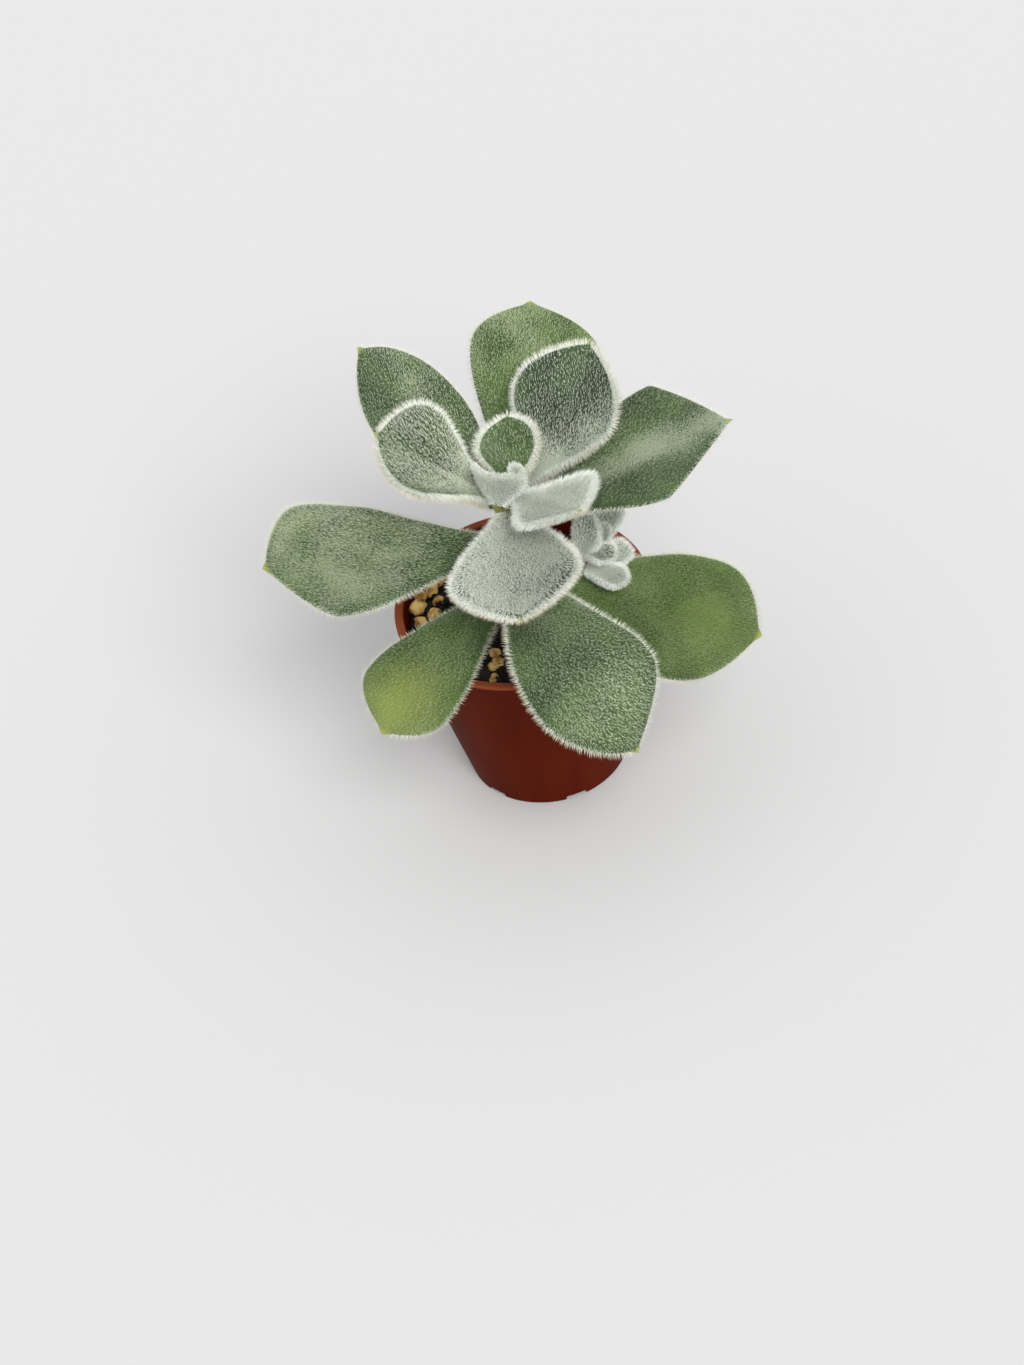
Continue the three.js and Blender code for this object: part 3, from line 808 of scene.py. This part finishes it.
# %% [markdown]
# ## Stems
# The bare stem below the leaves carries the scars of those it has shed, crescents set round it by
# the golden angle, and short hair. A cylinder cut into rings takes the scars as low bumps, and
# leans as the construction's stem does. The offset has a thinner stem of the same kind. The bark is
# corky and matte, brown at the soil and yellow-green near the crown, with blotches of about 2 mm.

# %% Green stem that browns with age
BLOTCHES_PER_MM = 0.5


def stem_bark():
    material, tree, surface = new_material("green stem browning with age")
    place = add(tree, "ShaderNodeTexCoord", out="Object")
    blotches = {"Vector": place, "Scale": BLOTCHES_PER_MM / MM, "Detail": 4.0}
    cloud = add(tree, "ShaderNodeTexNoise", {}, blotches, 0)
    along, scar = [add(tree, "ShaderNodeAttribute", {"attribute_name": name}, out="Fac")
                   for name in ("along", "scar")]
    high = add(tree, "ShaderNodeMapRange", SMOOTHLY, {"Value": along, "From Min": 0.0, "From Max": 0.75}, 0)
    ground = add(tree, "ShaderNodeMix", COLOURS, {0: high, 6: linear("#6d5636"), 7: linear("#a9b557")}, 2)
    ground = add(tree, "ShaderNodeMix", COLOURS, {0: scar, 6: ground, 7: linear("#57432a")}, 2)
    rough = add(tree, "ShaderNodeMapRange", SMOOTHLY, {"Value": cloud, "From Min": 0.3, "From Max": 0.75}, 0)
    colour = add(tree, "ShaderNodeMix", SOFT, {0: rough, 6: ground, 7: linear("#a99a6c")}, 2)
    tree.links.new(colour, surface.inputs["Base Color"])
    surface.inputs["Roughness"].default_value = 0.75
    bump = {"Height": cloud, "Strength": 0.5, "Distance": 0.0003}
    tree.links.new(add(tree, "ShaderNodeBump", {}, bump, 0), surface.inputs["Normal"])
    return material


STEM_BARK = stem_bark()
print("made", STEM_BARK.name)

# %% [markdown]
# Leaves leave a stem at the golden angle, so their scars wind up it the same way, about 2 mm apart
# in height. A scar is a shallow bump, wide and low, whose ends bend down round the stem.

# %% The scarred stem
GOLDEN_ANGLE = math.radians(137.5)
SCAR_STEP = 2.1
SCAR_WIDTH = 2.4
SCAR_HEIGHT = 0.55
SCAR_BEND = 0.3
SCAR_BUMP = 0.35
BARK_BUMP = 0.12
BARK_BUMPS_PER_MM = 0.6


def scar_at(angle, height, radius):
    deepest = 0.0
    first = int((height - SOIL_LEVEL) / SCAR_STEP) - 2
    for index in range(first, first + 6):
        turn = (angle - index * GOLDEN_ANGLE + math.pi) % (2 * math.pi) - math.pi
        rise = (height - SOIL_LEVEL - index * SCAR_STEP) - 0.5 * (turn * radius / 2) ** 2 * SCAR_BEND
        deepest = max(deepest, math.exp(-(turn * radius / SCAR_WIDTH) ** 2 - (rise / SCAR_HEIGHT) ** 2))
    return deepest


def stem_bmesh(radius, bottom, top, centre, rings, sides):
    bm = new_leaf_bmesh()
    scar_layer = bm.verts.layers.float.new("scar")
    bmesh.ops.create_cone(bm, cap_ends=True, segments=sides, radius1=radius, radius2=radius,
                          depth=top - bottom)
    bmesh.ops.translate(bm, verts=bm.verts, vec=(0, 0, (top + bottom) / 2))
    uprights = [e for e in bm.edges if abs(e.verts[0].co.z - e.verts[1].co.z) > 1]
    bmesh.ops.subdivide_edges(bm, edges=uprights, cuts=rings)
    for vert in bm.verts:
        angle = math.atan2(vert.co.y, vert.co.x)
        height = vert.co.z
        scar = scar_at(angle, height, radius)
        along = (height - SOIL_LEVEL) / (top - SOIL_LEVEL)
        out = Vector((math.cos(angle), math.sin(angle), 0))
        fuzz = 0.4 + 0.6 * max(0, along) - 0.3 * scar
        set_values(bm, vert, out * 0.4 + Vector((0, 0, 0.5)), along=along, upper=-0.2, age=0.6, fuzz=fuzz,
                   frost=0.2, shag=0.7, stout=0.9)
        vert[scar_layer] = scar
        rough = BARK_BUMP * noise.noise(vert.co * BARK_BUMPS_PER_MM)
        reach = radius + SCAR_BUMP * scar + rough if vert.co.xy.length > radius / 2 else 0
        vert.co = (centre(height) + out * reach) * MM
    return bm


STEM_ROOT = 30
STEM_TOP = 74
bm = stem_bmesh(STEM_RADIUS, STEM_ROOT, STEM_TOP, stem_point, rings=110, sides=48)
bmesh.ops.recalc_face_normals(bm, faces=bm.faces)
stem = piece_from(bm, "bare_stem", STEM_BARK, "stem", ["stem"])
stem_hair = grow_hair(stem, "hair_of_stem", STEM_HAIRS, seed=500, lift=1.0, ruffle=0.5)
print("stem", triangles(stem), "hair", triangles(stem_hair))

# %% [markdown]
# ## The heart and the offset
# The growing tip is a low dome with two cupped young leaves pressed to it, wholly covered in
# silver hair. The dome is the upper part of a sphere drawn upwards, and the leaves are the same
# formula as the large ones, with fewer rings. The whole head is one piece.

# %% Build the heart
DOME_RADIUS = 3.0
DOME_HEIGHT = 4.7
DOME_LIFT = 0.4
SMALL_ROWS = 36
SMALL_SIDES = 28


def add_dome(bm, centre, radius, height):
    made = bmesh.ops.create_uvsphere(bm, u_segments=24, v_segments=16, radius=1)
    for vert in made["verts"]:
        out = vert.co.copy()
        vert.co = (centre + Vector((out.x * radius, out.y * radius, out.z * height))) * MM
        set_values(bm, vert, out * 0.5, along=0.2, upper=1, age=0.1, flush=1.0, frost=0.0, fuzz=0.35,
                   shag=0.6, stout=0.9)


bm = new_leaf_bmesh()
add_dome(bm, stem_point(STEM_TOP + SEAT_GAP + DOME_LIFT), DOME_RADIUS, DOME_HEIGHT)
for sizes in HEART_LEAVES:
    add_blade(bm, {**sizes, **SMALL_DRESS}, Vector(sizes["root"]), SMALL_ROWS, SMALL_SIDES)
bmesh.ops.recalc_face_normals(bm, faces=bm.faces)
heart = piece_from(bm, "skin_of_heart", LEAF_SKIN, "heart", ["heart_leaves"])
heart_hair = grow_hair(heart, "hair_of_heart", HEART_HAIRS, seed=300)
print("heart", triangles(heart), "hair", triangles(heart_hair))

# %% [markdown]
# The offset is a young plant on a thin stem beside the main one: a smaller dome with six small
# leaves. It is made from the same functions, so the young plant takes after the old one.

# %% Build the offset
OFFSET_STEM_RADIUS = 1.5
OFFSET_STEM_END = 0.5
OFFSET_DOME_SPREAD = 1.4
OFFSET_DOME_HEIGHT = 1.8
top = OFFSET_CROWN.z + OFFSET_STEM_END
bm = stem_bmesh(OFFSET_STEM_RADIUS, OFFSET_SOIL.z, top, offset_point, rings=60, sides=28)
add_dome(bm, OFFSET_CROWN, OFFSET_STEM_RADIUS * OFFSET_DOME_SPREAD, OFFSET_DOME_HEIGHT)
for sizes in OFFSET_LEAVES:
    settings = {**sizes, **OFFSET_DRESS}
    add_blade(bm, settings, OFFSET_CROWN + Vector(sizes["root"]), SMALL_ROWS, SMALL_SIDES)
bmesh.ops.recalc_face_normals(bm, faces=bm.faces)
offset = piece_from(bm, "skin_of_offset", LEAF_SKIN, "leaf", ["offset_rosette"])
offset_hair = grow_hair(offset, "hair_of_offset", OFFSET_HAIRS, seed=400)
print("offset", triangles(offset), "hair", triangles(offset_hair))

# %% [markdown]
# ## The pot
# A small nursery pot is one thin injection moulding in brown polypropylene: a tapered cup with a
# narrow lip, and notches in its foot that let water out. It could be a cone hollowed out, but a half
# section spun round the axis gives the wall, the lip and the floor at once, with small arcs at its
# edges, because moulded edges are never sharp.

# %% Pot sizes and half section
POT_HEIGHT = 46
RIM_RADIUS = 27.5
BASE_RADIUS = 18
WALL = 1.2
LIP_STEP = 0.6
LIP_HEIGHT = 1.4
FLOOR = 3
FOOT_NOTCHES = 6
NOTCH_WIDTH = 4.8
NOTCH_HEIGHT = 1.3
NOTCH_DEPTH = 3
FIRST_NOTCH = -78
FOOT_ROUND = 0.4
LIP_ROUND = 0.25
TOP_ROUND = 0.4
MOUTH_ROUND = 0.3
FLOOR_ROUND = 0.6


def wall_radius(height):
    return mix(BASE_RADIUS, RIM_RADIUS - LIP_STEP, height / POT_HEIGHT)


def arc(centre_x, centre_z, radius, start, end, steps=4):
    turns = [math.radians(mix(start, end, i / steps)) for i in range(steps + 1)]
    return [(centre_x + radius * math.cos(a), centre_z + radius * math.sin(a)) for a in turns]


def pot_section():
    lip = POT_HEIGHT - LIP_HEIGHT
    inside = wall_radius(POT_HEIGHT) - WALL
    section = [(0, 0), (BASE_RADIUS * 0.5, 0), (BASE_RADIUS - 2, 0)]
    section += arc(BASE_RADIUS - FOOT_ROUND, FOOT_ROUND, FOOT_ROUND, -90, 0)
    section += [(wall_radius(height), height) for height in (10, 18, 26, 34)]
    section += [(wall_radius(lip) - 0.02, lip - 0.15)]
    section += arc(RIM_RADIUS - LIP_ROUND, lip + LIP_ROUND, LIP_ROUND, -90, 0)
    section += arc(RIM_RADIUS - TOP_ROUND, POT_HEIGHT - TOP_ROUND, TOP_ROUND, 0, 90)
    section += arc(inside + MOUTH_ROUND, POT_HEIGHT - MOUTH_ROUND, MOUTH_ROUND, 90, 180)
    section += [(wall_radius(height) - WALL, height) for height in (38, 30, 22, 14)]
    section += arc(wall_radius(FLOOR) - WALL - FLOOR_ROUND, FLOOR + FLOOR_ROUND, FLOOR_ROUND, 0, -90)
    return section + [(0, FLOOR)]


print("the pot's half section has", len(pot_section()), "points")


# %% [markdown]
# The plastic is a deep red-brown with a weak gloss. Its narrow lip is painted paler, a painted
# highlight where light catches it. Its surface has the fine grain of a spark-eroded mould, drawn at
# 0.4 mm, a little coarser than the real one, so that it shows. Faint upright flow marks are about
# 6 mm apart, and smears of dust, about 17 mm across, make the gloss uneven.

# %% Brown injection-moulded polypropylene
GRAINS_PER_MM = 2.5
FLOW_MARKS_PER_MM = 0.16
SMEARS_PER_MM = 0.06
UPRIGHT = (1.0, 1.0, 0.12)
# Heights in millimetres between which the lip is painted paler, as a painted highlight.
PAINTED_LIP_HIGHLIGHT = (45.1, 45.8)


def pot_plastic():
    material, tree, surface = new_material("brown moulded polypropylene")
    place = add(tree, "ShaderNodeTexCoord", out="Object")
    stretch = add(tree, "ShaderNodeMapping", {}, {"Vector": place, "Scale": UPRIGHT}, 0)
    grains = {"Vector": place, "Scale": GRAINS_PER_MM / MM, "Detail": 2.0}
    grain = add(tree, "ShaderNodeTexNoise", {}, grains, 0)
    marks = {"Vector": stretch, "Scale": FLOW_MARKS_PER_MM / MM, "Detail": 2.0}
    flow = add(tree, "ShaderNodeTexNoise", {}, marks, 0)
    smears = {"Vector": place, "Scale": SMEARS_PER_MM / MM, "Detail": 4.0}
    smear = add(tree, "ShaderNodeTexNoise", {}, smears, 0)
    height = add(tree, "ShaderNodeSeparateXYZ", {}, {0: place}, 2)
    streak = add(tree, "ShaderNodeMapRange", SMOOTHLY, {"Value": flow, "From Min": 0.3, "From Max": 0.7}, 0)
    colour = add(tree, "ShaderNodeMix", COLOURS, {0: streak, 6: linear("#511505"), 7: linear("#571907")}, 2)
    # The lip band is a painted highlight: the lip is painted paler where light catches it.
    lip = {"Value": height, "From Min": PAINTED_LIP_HIGHLIGHT[0] * MM, "From Max": PAINTED_LIP_HIGHLIGHT[1] * MM}
    lip = add(tree, "ShaderNodeMapRange", SMOOTHLY, lip, 0)
    colour = add(tree, "ShaderNodeMix", COLOURS, {0: lip, 6: colour, 7: linear("#8e4a30")}, 2)
    dusty = {"Value": smear, "From Min": 0.55, "From Max": 0.85, "To Max": 0.02}
    dusty = add(tree, "ShaderNodeMapRange", {}, dusty, 0)
    colour = add(tree, "ShaderNodeMix", COLOURS, {0: dusty, 6: colour, 7: linear("#9a6a55")}, 2)
    tree.links.new(colour, surface.inputs["Base Color"])
    gloss = add(tree, "ShaderNodeMapRange", {}, {"Value": smear, "To Min": 0.42, "To Max": 0.58}, 0)
    tree.links.new(gloss, surface.inputs["Roughness"])
    surface.inputs["IOR"].default_value = 1.49
    surface.inputs["Specular IOR Level"].default_value = 0.02
    bump = {"Height": grain, "Strength": 0.12, "Distance": 0.0001}
    tree.links.new(add(tree, "ShaderNodeBump", {}, bump, 0), surface.inputs["Normal"])
    return material


POT_PLASTIC = pot_plastic()
print("made", POT_PLASTIC.name)


# %% [markdown]
# The section is spun in 144 steps, enough for a round rim at this size. Notches could be modelled
# into the ring face by face, but six small blocks with rounded edges, taken out by one Boolean, are
# quicker and leave the wall true.

# %% Spin the pot and cut its foot notches
POT_STEPS = 144
def spun(section, steps):
    bm = bmesh.new()
    verts = [bm.verts.new((x * MM, 0, z * MM)) for x, z in section]
    edges = [bm.edges.new(pair) for pair in zip(verts, verts[1:])]
    bmesh.ops.spin(bm, geom=verts + edges, cent=(0, 0, 0), axis=(0, 0, 1), angle=2 * math.pi, steps=steps,
                   use_merge=True)
    bmesh.ops.remove_doubles(bm, verts=bm.verts, dist=MM / 1000)
    bmesh.ops.recalc_face_normals(bm, faces=bm.faces)
    return bm


def notch_cutters():
    bm = bmesh.new()
    for index in range(FOOT_NOTCHES):
        made = bmesh.ops.create_cube(bm, size=1)
        size = (2 * NOTCH_DEPTH * MM, NOTCH_WIDTH * MM, 2 * NOTCH_HEIGHT * MM)
        bmesh.ops.scale(bm, verts=made["verts"], vec=size)
        fresh = set(made["verts"])
        lengthwise = [e for e in bm.edges if e.verts[0] in fresh
                      and abs(e.verts[0].co.x - e.verts[1].co.x) > MM]
        rounded = bmesh.ops.bevel(bm, geom=lengthwise, offset=0.5 * MM, segments=4, profile=0.5,
                                  affect="EDGES", material=-1)
        corners = list(dict.fromkeys([v for v in made["verts"] if v.is_valid] + rounded["verts"]))
        bmesh.ops.translate(bm, verts=corners, vec=(BASE_RADIUS * MM, 0, 0))
        turn = Matrix.Rotation(math.radians(FIRST_NOTCH + index * 360 / FOOT_NOTCHES), 3, "Z")
        bmesh.ops.rotate(bm, verts=corners, cent=(0, 0, 0), matrix=turn)
    mesh = bpy.data.meshes.new("notch_cutters")
    bm.to_mesh(mesh)
    bm.free()
    cutters = bpy.data.objects.new("notch_cutters", mesh)
    bpy.context.scene.collection.objects.link(cutters)
    return cutters


def keep_result(made):
    graph = bpy.context.evaluated_depsgraph_get()
    mesh = bpy.data.meshes.new_from_object(made.evaluated_get(graph), depsgraph=graph)
    made.modifiers.clear()
    made.data = mesh


pot = piece_from(spun(pot_section(), POT_STEPS), "nursery_pot", POT_PLASTIC, "pot", ["pot"])
cutters = notch_cutters()
cut = pot.modifiers.new("notches", "BOOLEAN")
cut.operation = "DIFFERENCE"
cut.solver = "EXACT"
cut.object = cutters
keep_result(pot)
bpy.data.objects.remove(cutters)
pot.data.set_sharp_from_angle(angle=math.radians(40))
print("pot", triangles(pot))

# %% [markdown]
# ## The soil
# Potting soil for succulents is dark peat with mineral granules. Moist peat is nearly black and has
# no gloss, with bits of about 0.7 mm. The granules are porous and matte, ochre with paler worn faces,
# and their stains are about 1.7 mm across.

# %% Moist peat and ochre granules
BITS_PER_MM = 1.4
STAINS_PER_MM = 0.6


def peat():
    material, tree, surface = new_material("moist dark peat")
    place = add(tree, "ShaderNodeTexCoord", out="Object")
    crumbly = {"Vector": place, "Scale": BITS_PER_MM / MM, "Detail": 5.0}
    crumb = add(tree, "ShaderNodeTexNoise", {}, crumbly, 0)
    bits = add(tree, "ShaderNodeMapRange", SMOOTHLY, {"Value": crumb, "From Min": 0.35, "From Max": 0.75}, 0)
    colour = add(tree, "ShaderNodeMix", COLOURS, {0: bits, 6: linear("#120d09"), 7: linear("#2e231b")}, 2)
    tree.links.new(colour, surface.inputs["Base Color"])
    surface.inputs["Roughness"].default_value = 0.9
    bump = {"Height": crumb, "Strength": 0.8, "Distance": 0.0004}
    tree.links.new(add(tree, "ShaderNodeBump", {}, bump, 0), surface.inputs["Normal"])
    return material


def ochre_granule():
    material, tree, surface = new_material("ochre mineral granule")
    place = add(tree, "ShaderNodeTexCoord", out="Object")
    stains = {"Vector": place, "Scale": STAINS_PER_MM / MM, "Detail": 5.0}
    stain = add(tree, "ShaderNodeTexNoise", {}, stains, 0)
    worn = add(tree, "ShaderNodeMapRange", SMOOTHLY, {"Value": stain, "From Min": 0.35, "From Max": 0.6}, 0)
    colour = add(tree, "ShaderNodeMix", COLOURS, {0: worn, 6: linear("#a8762f"), 7: linear("#f2cd83")}, 2)
    tree.links.new(colour, surface.inputs["Base Color"])
    surface.inputs["Roughness"].default_value = 0.85
    bump = {"Height": stain, "Strength": 0.6, "Distance": 0.0003}
    tree.links.new(add(tree, "ShaderNodeBump", {}, bump, 0), surface.inputs["Normal"])
    return material


PEAT = peat()
OCHRE = ochre_granule()
print("made", PEAT.name, "and", OCHRE.name)

# %% [markdown]
# The soil fills the pot almost to its rim and its surface is lumpy. A plug spun from a half section
# fits the pot's inside, and each corner of its top is then raised by the same waves as in the
# construction, with clods and grit added by noise.

# %% The lumpy plug
SOIL_GAP = 0.45
SOIL_LUMP = 0.5
CLOD = 0.5
CLODS_PER_MM = 0.7
GRIT = 0.25
GRIT_PER_MM = 1.9
PLUG_RINGS = 44
PLUG_STEPS = 112


def soil_top(x, y):
    rough = math.sin(0.9 * x + 0.4 * y) + math.sin(0.5 * x - 1.1 * y) + math.sin(1.3 * x + 1.2 * y)
    clods = CLOD * noise.noise(Vector((x * CLODS_PER_MM, y * CLODS_PER_MM, 3)))
    grit = GRIT * noise.noise(Vector((x * GRIT_PER_MM, y * GRIT_PER_MM, 7)))
    return SOIL_LEVEL + SOIL_LUMP * rough / 2 + clods + grit


def plug_radius(height):
    return wall_radius(height) - WALL - SOIL_GAP


def plug_section():
    bottom = FLOOR + SEAT_GAP
    below = SOIL_LEVEL - 2
    edge = plug_radius(SOIL_LEVEL + SOIL_LUMP)
    section = [(0, bottom), (plug_radius(bottom), bottom), (plug_radius(below), below)]
    return section + [(edge * ring / PLUG_RINGS, SOIL_LEVEL) for ring in range(PLUG_RINGS, -1, -1)], edge


section, soil_edge = plug_section()
bm = spun(section, PLUG_STEPS)
for vert in bm.verts:
    x, y, z = vert.co / MM
    if z > SOIL_LEVEL - 1 and math.hypot(x, y) < soil_edge - 0.1:
        vert.co.z = soil_top(x, y) * MM
soil = piece_from(bm, "potting_soil", PEAT, "soil", ["soil"])
print("soil", triangles(soil))

# %% [markdown]
# Loose crumbs and granules lie on the plug, each an icosphere pushed out of round by noise, flattened
# and turned. Most are sown by a seeded draw, so they come out the same each time. Those by the wall
# that show between the leaves are set where they are seen, as x, y and radius in millimetres.

# %% Crumbs and granules
SEED = 7
CRUMBS = 900
GRANULES = 14
GRANULE_RADIUS = 1.5
GRANULE_TURN = 2.4
LOOSE_GRANULES = 20
WALL_GRANULES = [(-17.2, 13.3, 1.8), (-18.7, 10.7, 1.6), (-14.2, 6.8, 1.3), (-21.3, 9.8, 1.4),
                 (-22.4, 5.2, 2.0), (-22.2, 1.6, 1.6), (-19.2, 3.2, 1.7), (-21.6, -1.4, 1.3),
                 (-17.2, 0.6, 1.2), (-7.9, -12.2, 1.3), (-9.3, -20.2, 0.8)]


def add_stone(bm, x, y, radius, sink, squash, seed, subdivisions):
    made = bmesh.ops.create_icosphere(bm, subdivisions=subdivisions, radius=1)
    for vert in made["verts"]:
        out = vert.co.copy()
        shift = Vector((seed, seed * 2.0, 0))
        lump = 1 + 0.3 * noise.noise(out * 1.3 + shift) + 0.08 * noise.noise(out * 3.0 + shift)
        vert.co = Vector((out.x, out.y, out.z * squash)) * radius * lump
    turn = Matrix.Rotation(seed * 1.7, 3, "Z") @ Matrix.Rotation(seed, 3, "X")
    bmesh.ops.rotate(bm, verts=made["verts"], cent=(0, 0, 0), matrix=turn)
    spot = Vector((x, y, soil_top(x, y) + radius * sink))
    for vert in made["verts"]:
        vert.co = (vert.co + spot) * MM


draw = random.Random(SEED)
bm = bmesh.new()
for index in range(CRUMBS):
    reach = (soil_edge - 1) * math.sqrt(draw.random())
    turn = draw.uniform(0, 2 * math.pi)
    size = 0.25 + 0.9 * draw.random() ** 2.5
    flat = draw.uniform(0.5, 1)
    add_stone(bm, reach * math.cos(turn), reach * math.sin(turn), size, sink=0.3, squash=flat, seed=index,
              subdivisions=1)
crumbs = piece_from(bm, "soil_crumbs", PEAT, "soil")

bm = bmesh.new()
for index in range(GRANULES):
    turn = index * GRANULE_TURN
    reach = 8 + 15 * math.sqrt(index * 0.618 % 1)
    size = GRANULE_RADIUS * (0.7 + 0.5 * (index * 0.37 % 1))
    add_stone(bm, reach * math.cos(turn), reach * math.sin(turn), size, sink=0.3, squash=0.8, seed=index,
              subdivisions=3)
for index, (x, y, size) in enumerate(WALL_GRANULES):
    add_stone(bm, x, y, size, sink=0.45, squash=0.8, seed=50 + index, subdivisions=3)
for index in range(LOOSE_GRANULES):
    reach = 6 + (soil_edge - 8) * math.sqrt(draw.random())
    turn = draw.uniform(0, 2 * math.pi)
    size = draw.uniform(0.6, 1.3)
    add_stone(bm, reach * math.cos(turn), reach * math.sin(turn), size, sink=0.2, squash=0.8,
              seed=90 + index, subdivisions=2)
granules = piece_from(bm, "ochre_granules", OCHRE, "soil")
print("crumbs", triangles(crumbs), "granules", triangles(granules))

# %% [markdown]
# ## Floor, light and camera
# The stage is a plain pale floor under a soft sky, with one broad soft light from the front right.
# A sun with a wide angle does that with one lamp, and its shadows have soft edges as in a studio.

# %% Floor and light
FLOOR_METRES = 3
FLOOR_DROP = 0.1
SKY_STRENGTH = 0.73
SUN_STRENGTH = 2.3
SUN_ANGLE = 35
SUN_TOWARDS = (0.3, -0.9, 0.95)


def stage_floor():
    bm = bmesh.new()
    bmesh.ops.create_grid(bm, x_segments=2, y_segments=2, size=FLOOR_METRES)
    bmesh.ops.translate(bm, verts=bm.verts, vec=(0, 0, -FLOOR_DROP * MM))
    mesh = bpy.data.meshes.new("floor")
    bm.to_mesh(mesh)
    bm.free()
    material, _, surface = new_material("matte pale floor")
    surface.inputs["Base Color"].default_value = linear("#d4d4d4")
    surface.inputs["Roughness"].default_value = 0.95
    surface.inputs["Specular IOR Level"].default_value = 0.0
    mesh.materials.append(material)
    floor = bpy.data.objects.new("floor", mesh)
    bpy.context.scene.collection.objects.link(floor)
    floor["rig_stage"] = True


def soft_light():
    world = bpy.data.worlds.new("soft sky")
    world.use_nodes = True
    sky = world.node_tree.nodes["Background"]
    sky.inputs["Color"].default_value = linear("#ffffff")
    sky.inputs["Strength"].default_value = SKY_STRENGTH
    bpy.context.scene.world = world
    lamp = bpy.data.lights.new("soft sun", "SUN")
    lamp.energy = SUN_STRENGTH
    lamp.angle = math.radians(SUN_ANGLE)
    sun = bpy.data.objects.new("soft sun", lamp)
    bpy.context.scene.collection.objects.link(sun)
    sun.rotation_euler = Vector(SUN_TOWARDS).to_track_quat("Z", "Y").to_euler()


stage_floor()
soft_light()
print("sky", SKY_STRENGTH, "and sun", SUN_STRENGTH)

# %% [markdown]
# The camera looks down on the rosette at about 45 degrees and is rolled a little. Its place is worked
# out from those angles, its distance and the point it looks at, all in millimetres. The lens follows
# from its focal length in pixels and the height of the image, which is the longer side.

# %% Camera
ELEVATION = 44.5
ROLL = -11.0
DISTANCE = 500
LOOK_AT_HEIGHT = 30
OFF_CENTRE = (4.3, 7.2)
IMAGE_HEIGHT = 1365
FOCAL_PIXELS = 2305
SENSOR = 36


def make_camera():
    lens = bpy.data.cameras.new("camera")
    lens.sensor_width = SENSOR
    lens.lens = FOCAL_PIXELS / IMAGE_HEIGHT * SENSOR
    camera = bpy.data.objects.new("camera", lens)
    bpy.context.scene.collection.objects.link(camera)
    tilt = math.radians(ELEVATION)
    roll = math.radians(ROLL)
    back = Vector((0, -math.cos(tilt), math.sin(tilt)))
    level = Vector((1, 0, 0))
    upright = Vector((0, math.sin(tilt), math.cos(tilt)))
    right = level * math.cos(roll) + upright * math.sin(roll)
    up = upright * math.cos(roll) - level * math.sin(roll)
    place = Vector((0, 0, LOOK_AT_HEIGHT)) + back * DISTANCE - right * OFF_CENTRE[0] - up * OFF_CENTRE[1]
    camera.matrix_world = Matrix.Translation(place * MM) @ Matrix((right, up, back)).transposed().to_4x4()
    bpy.context.scene.camera = camera
    return camera


camera = make_camera()
bpy.context.scene.view_settings.view_transform = "Standard"
print("camera at", [round(c, 3) for c in camera.location])

# %% [markdown]
# ## Leave the set tidy
# The single hair was only a pattern for the coats, so it goes. The last line counts the pieces and
# their triangles.

# %% Count the pieces and finish
bpy.data.objects.remove(SPIKE)
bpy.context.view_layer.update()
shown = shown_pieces()
print("pieces", len(shown), "triangles", sum(triangles(p) for p in shown))
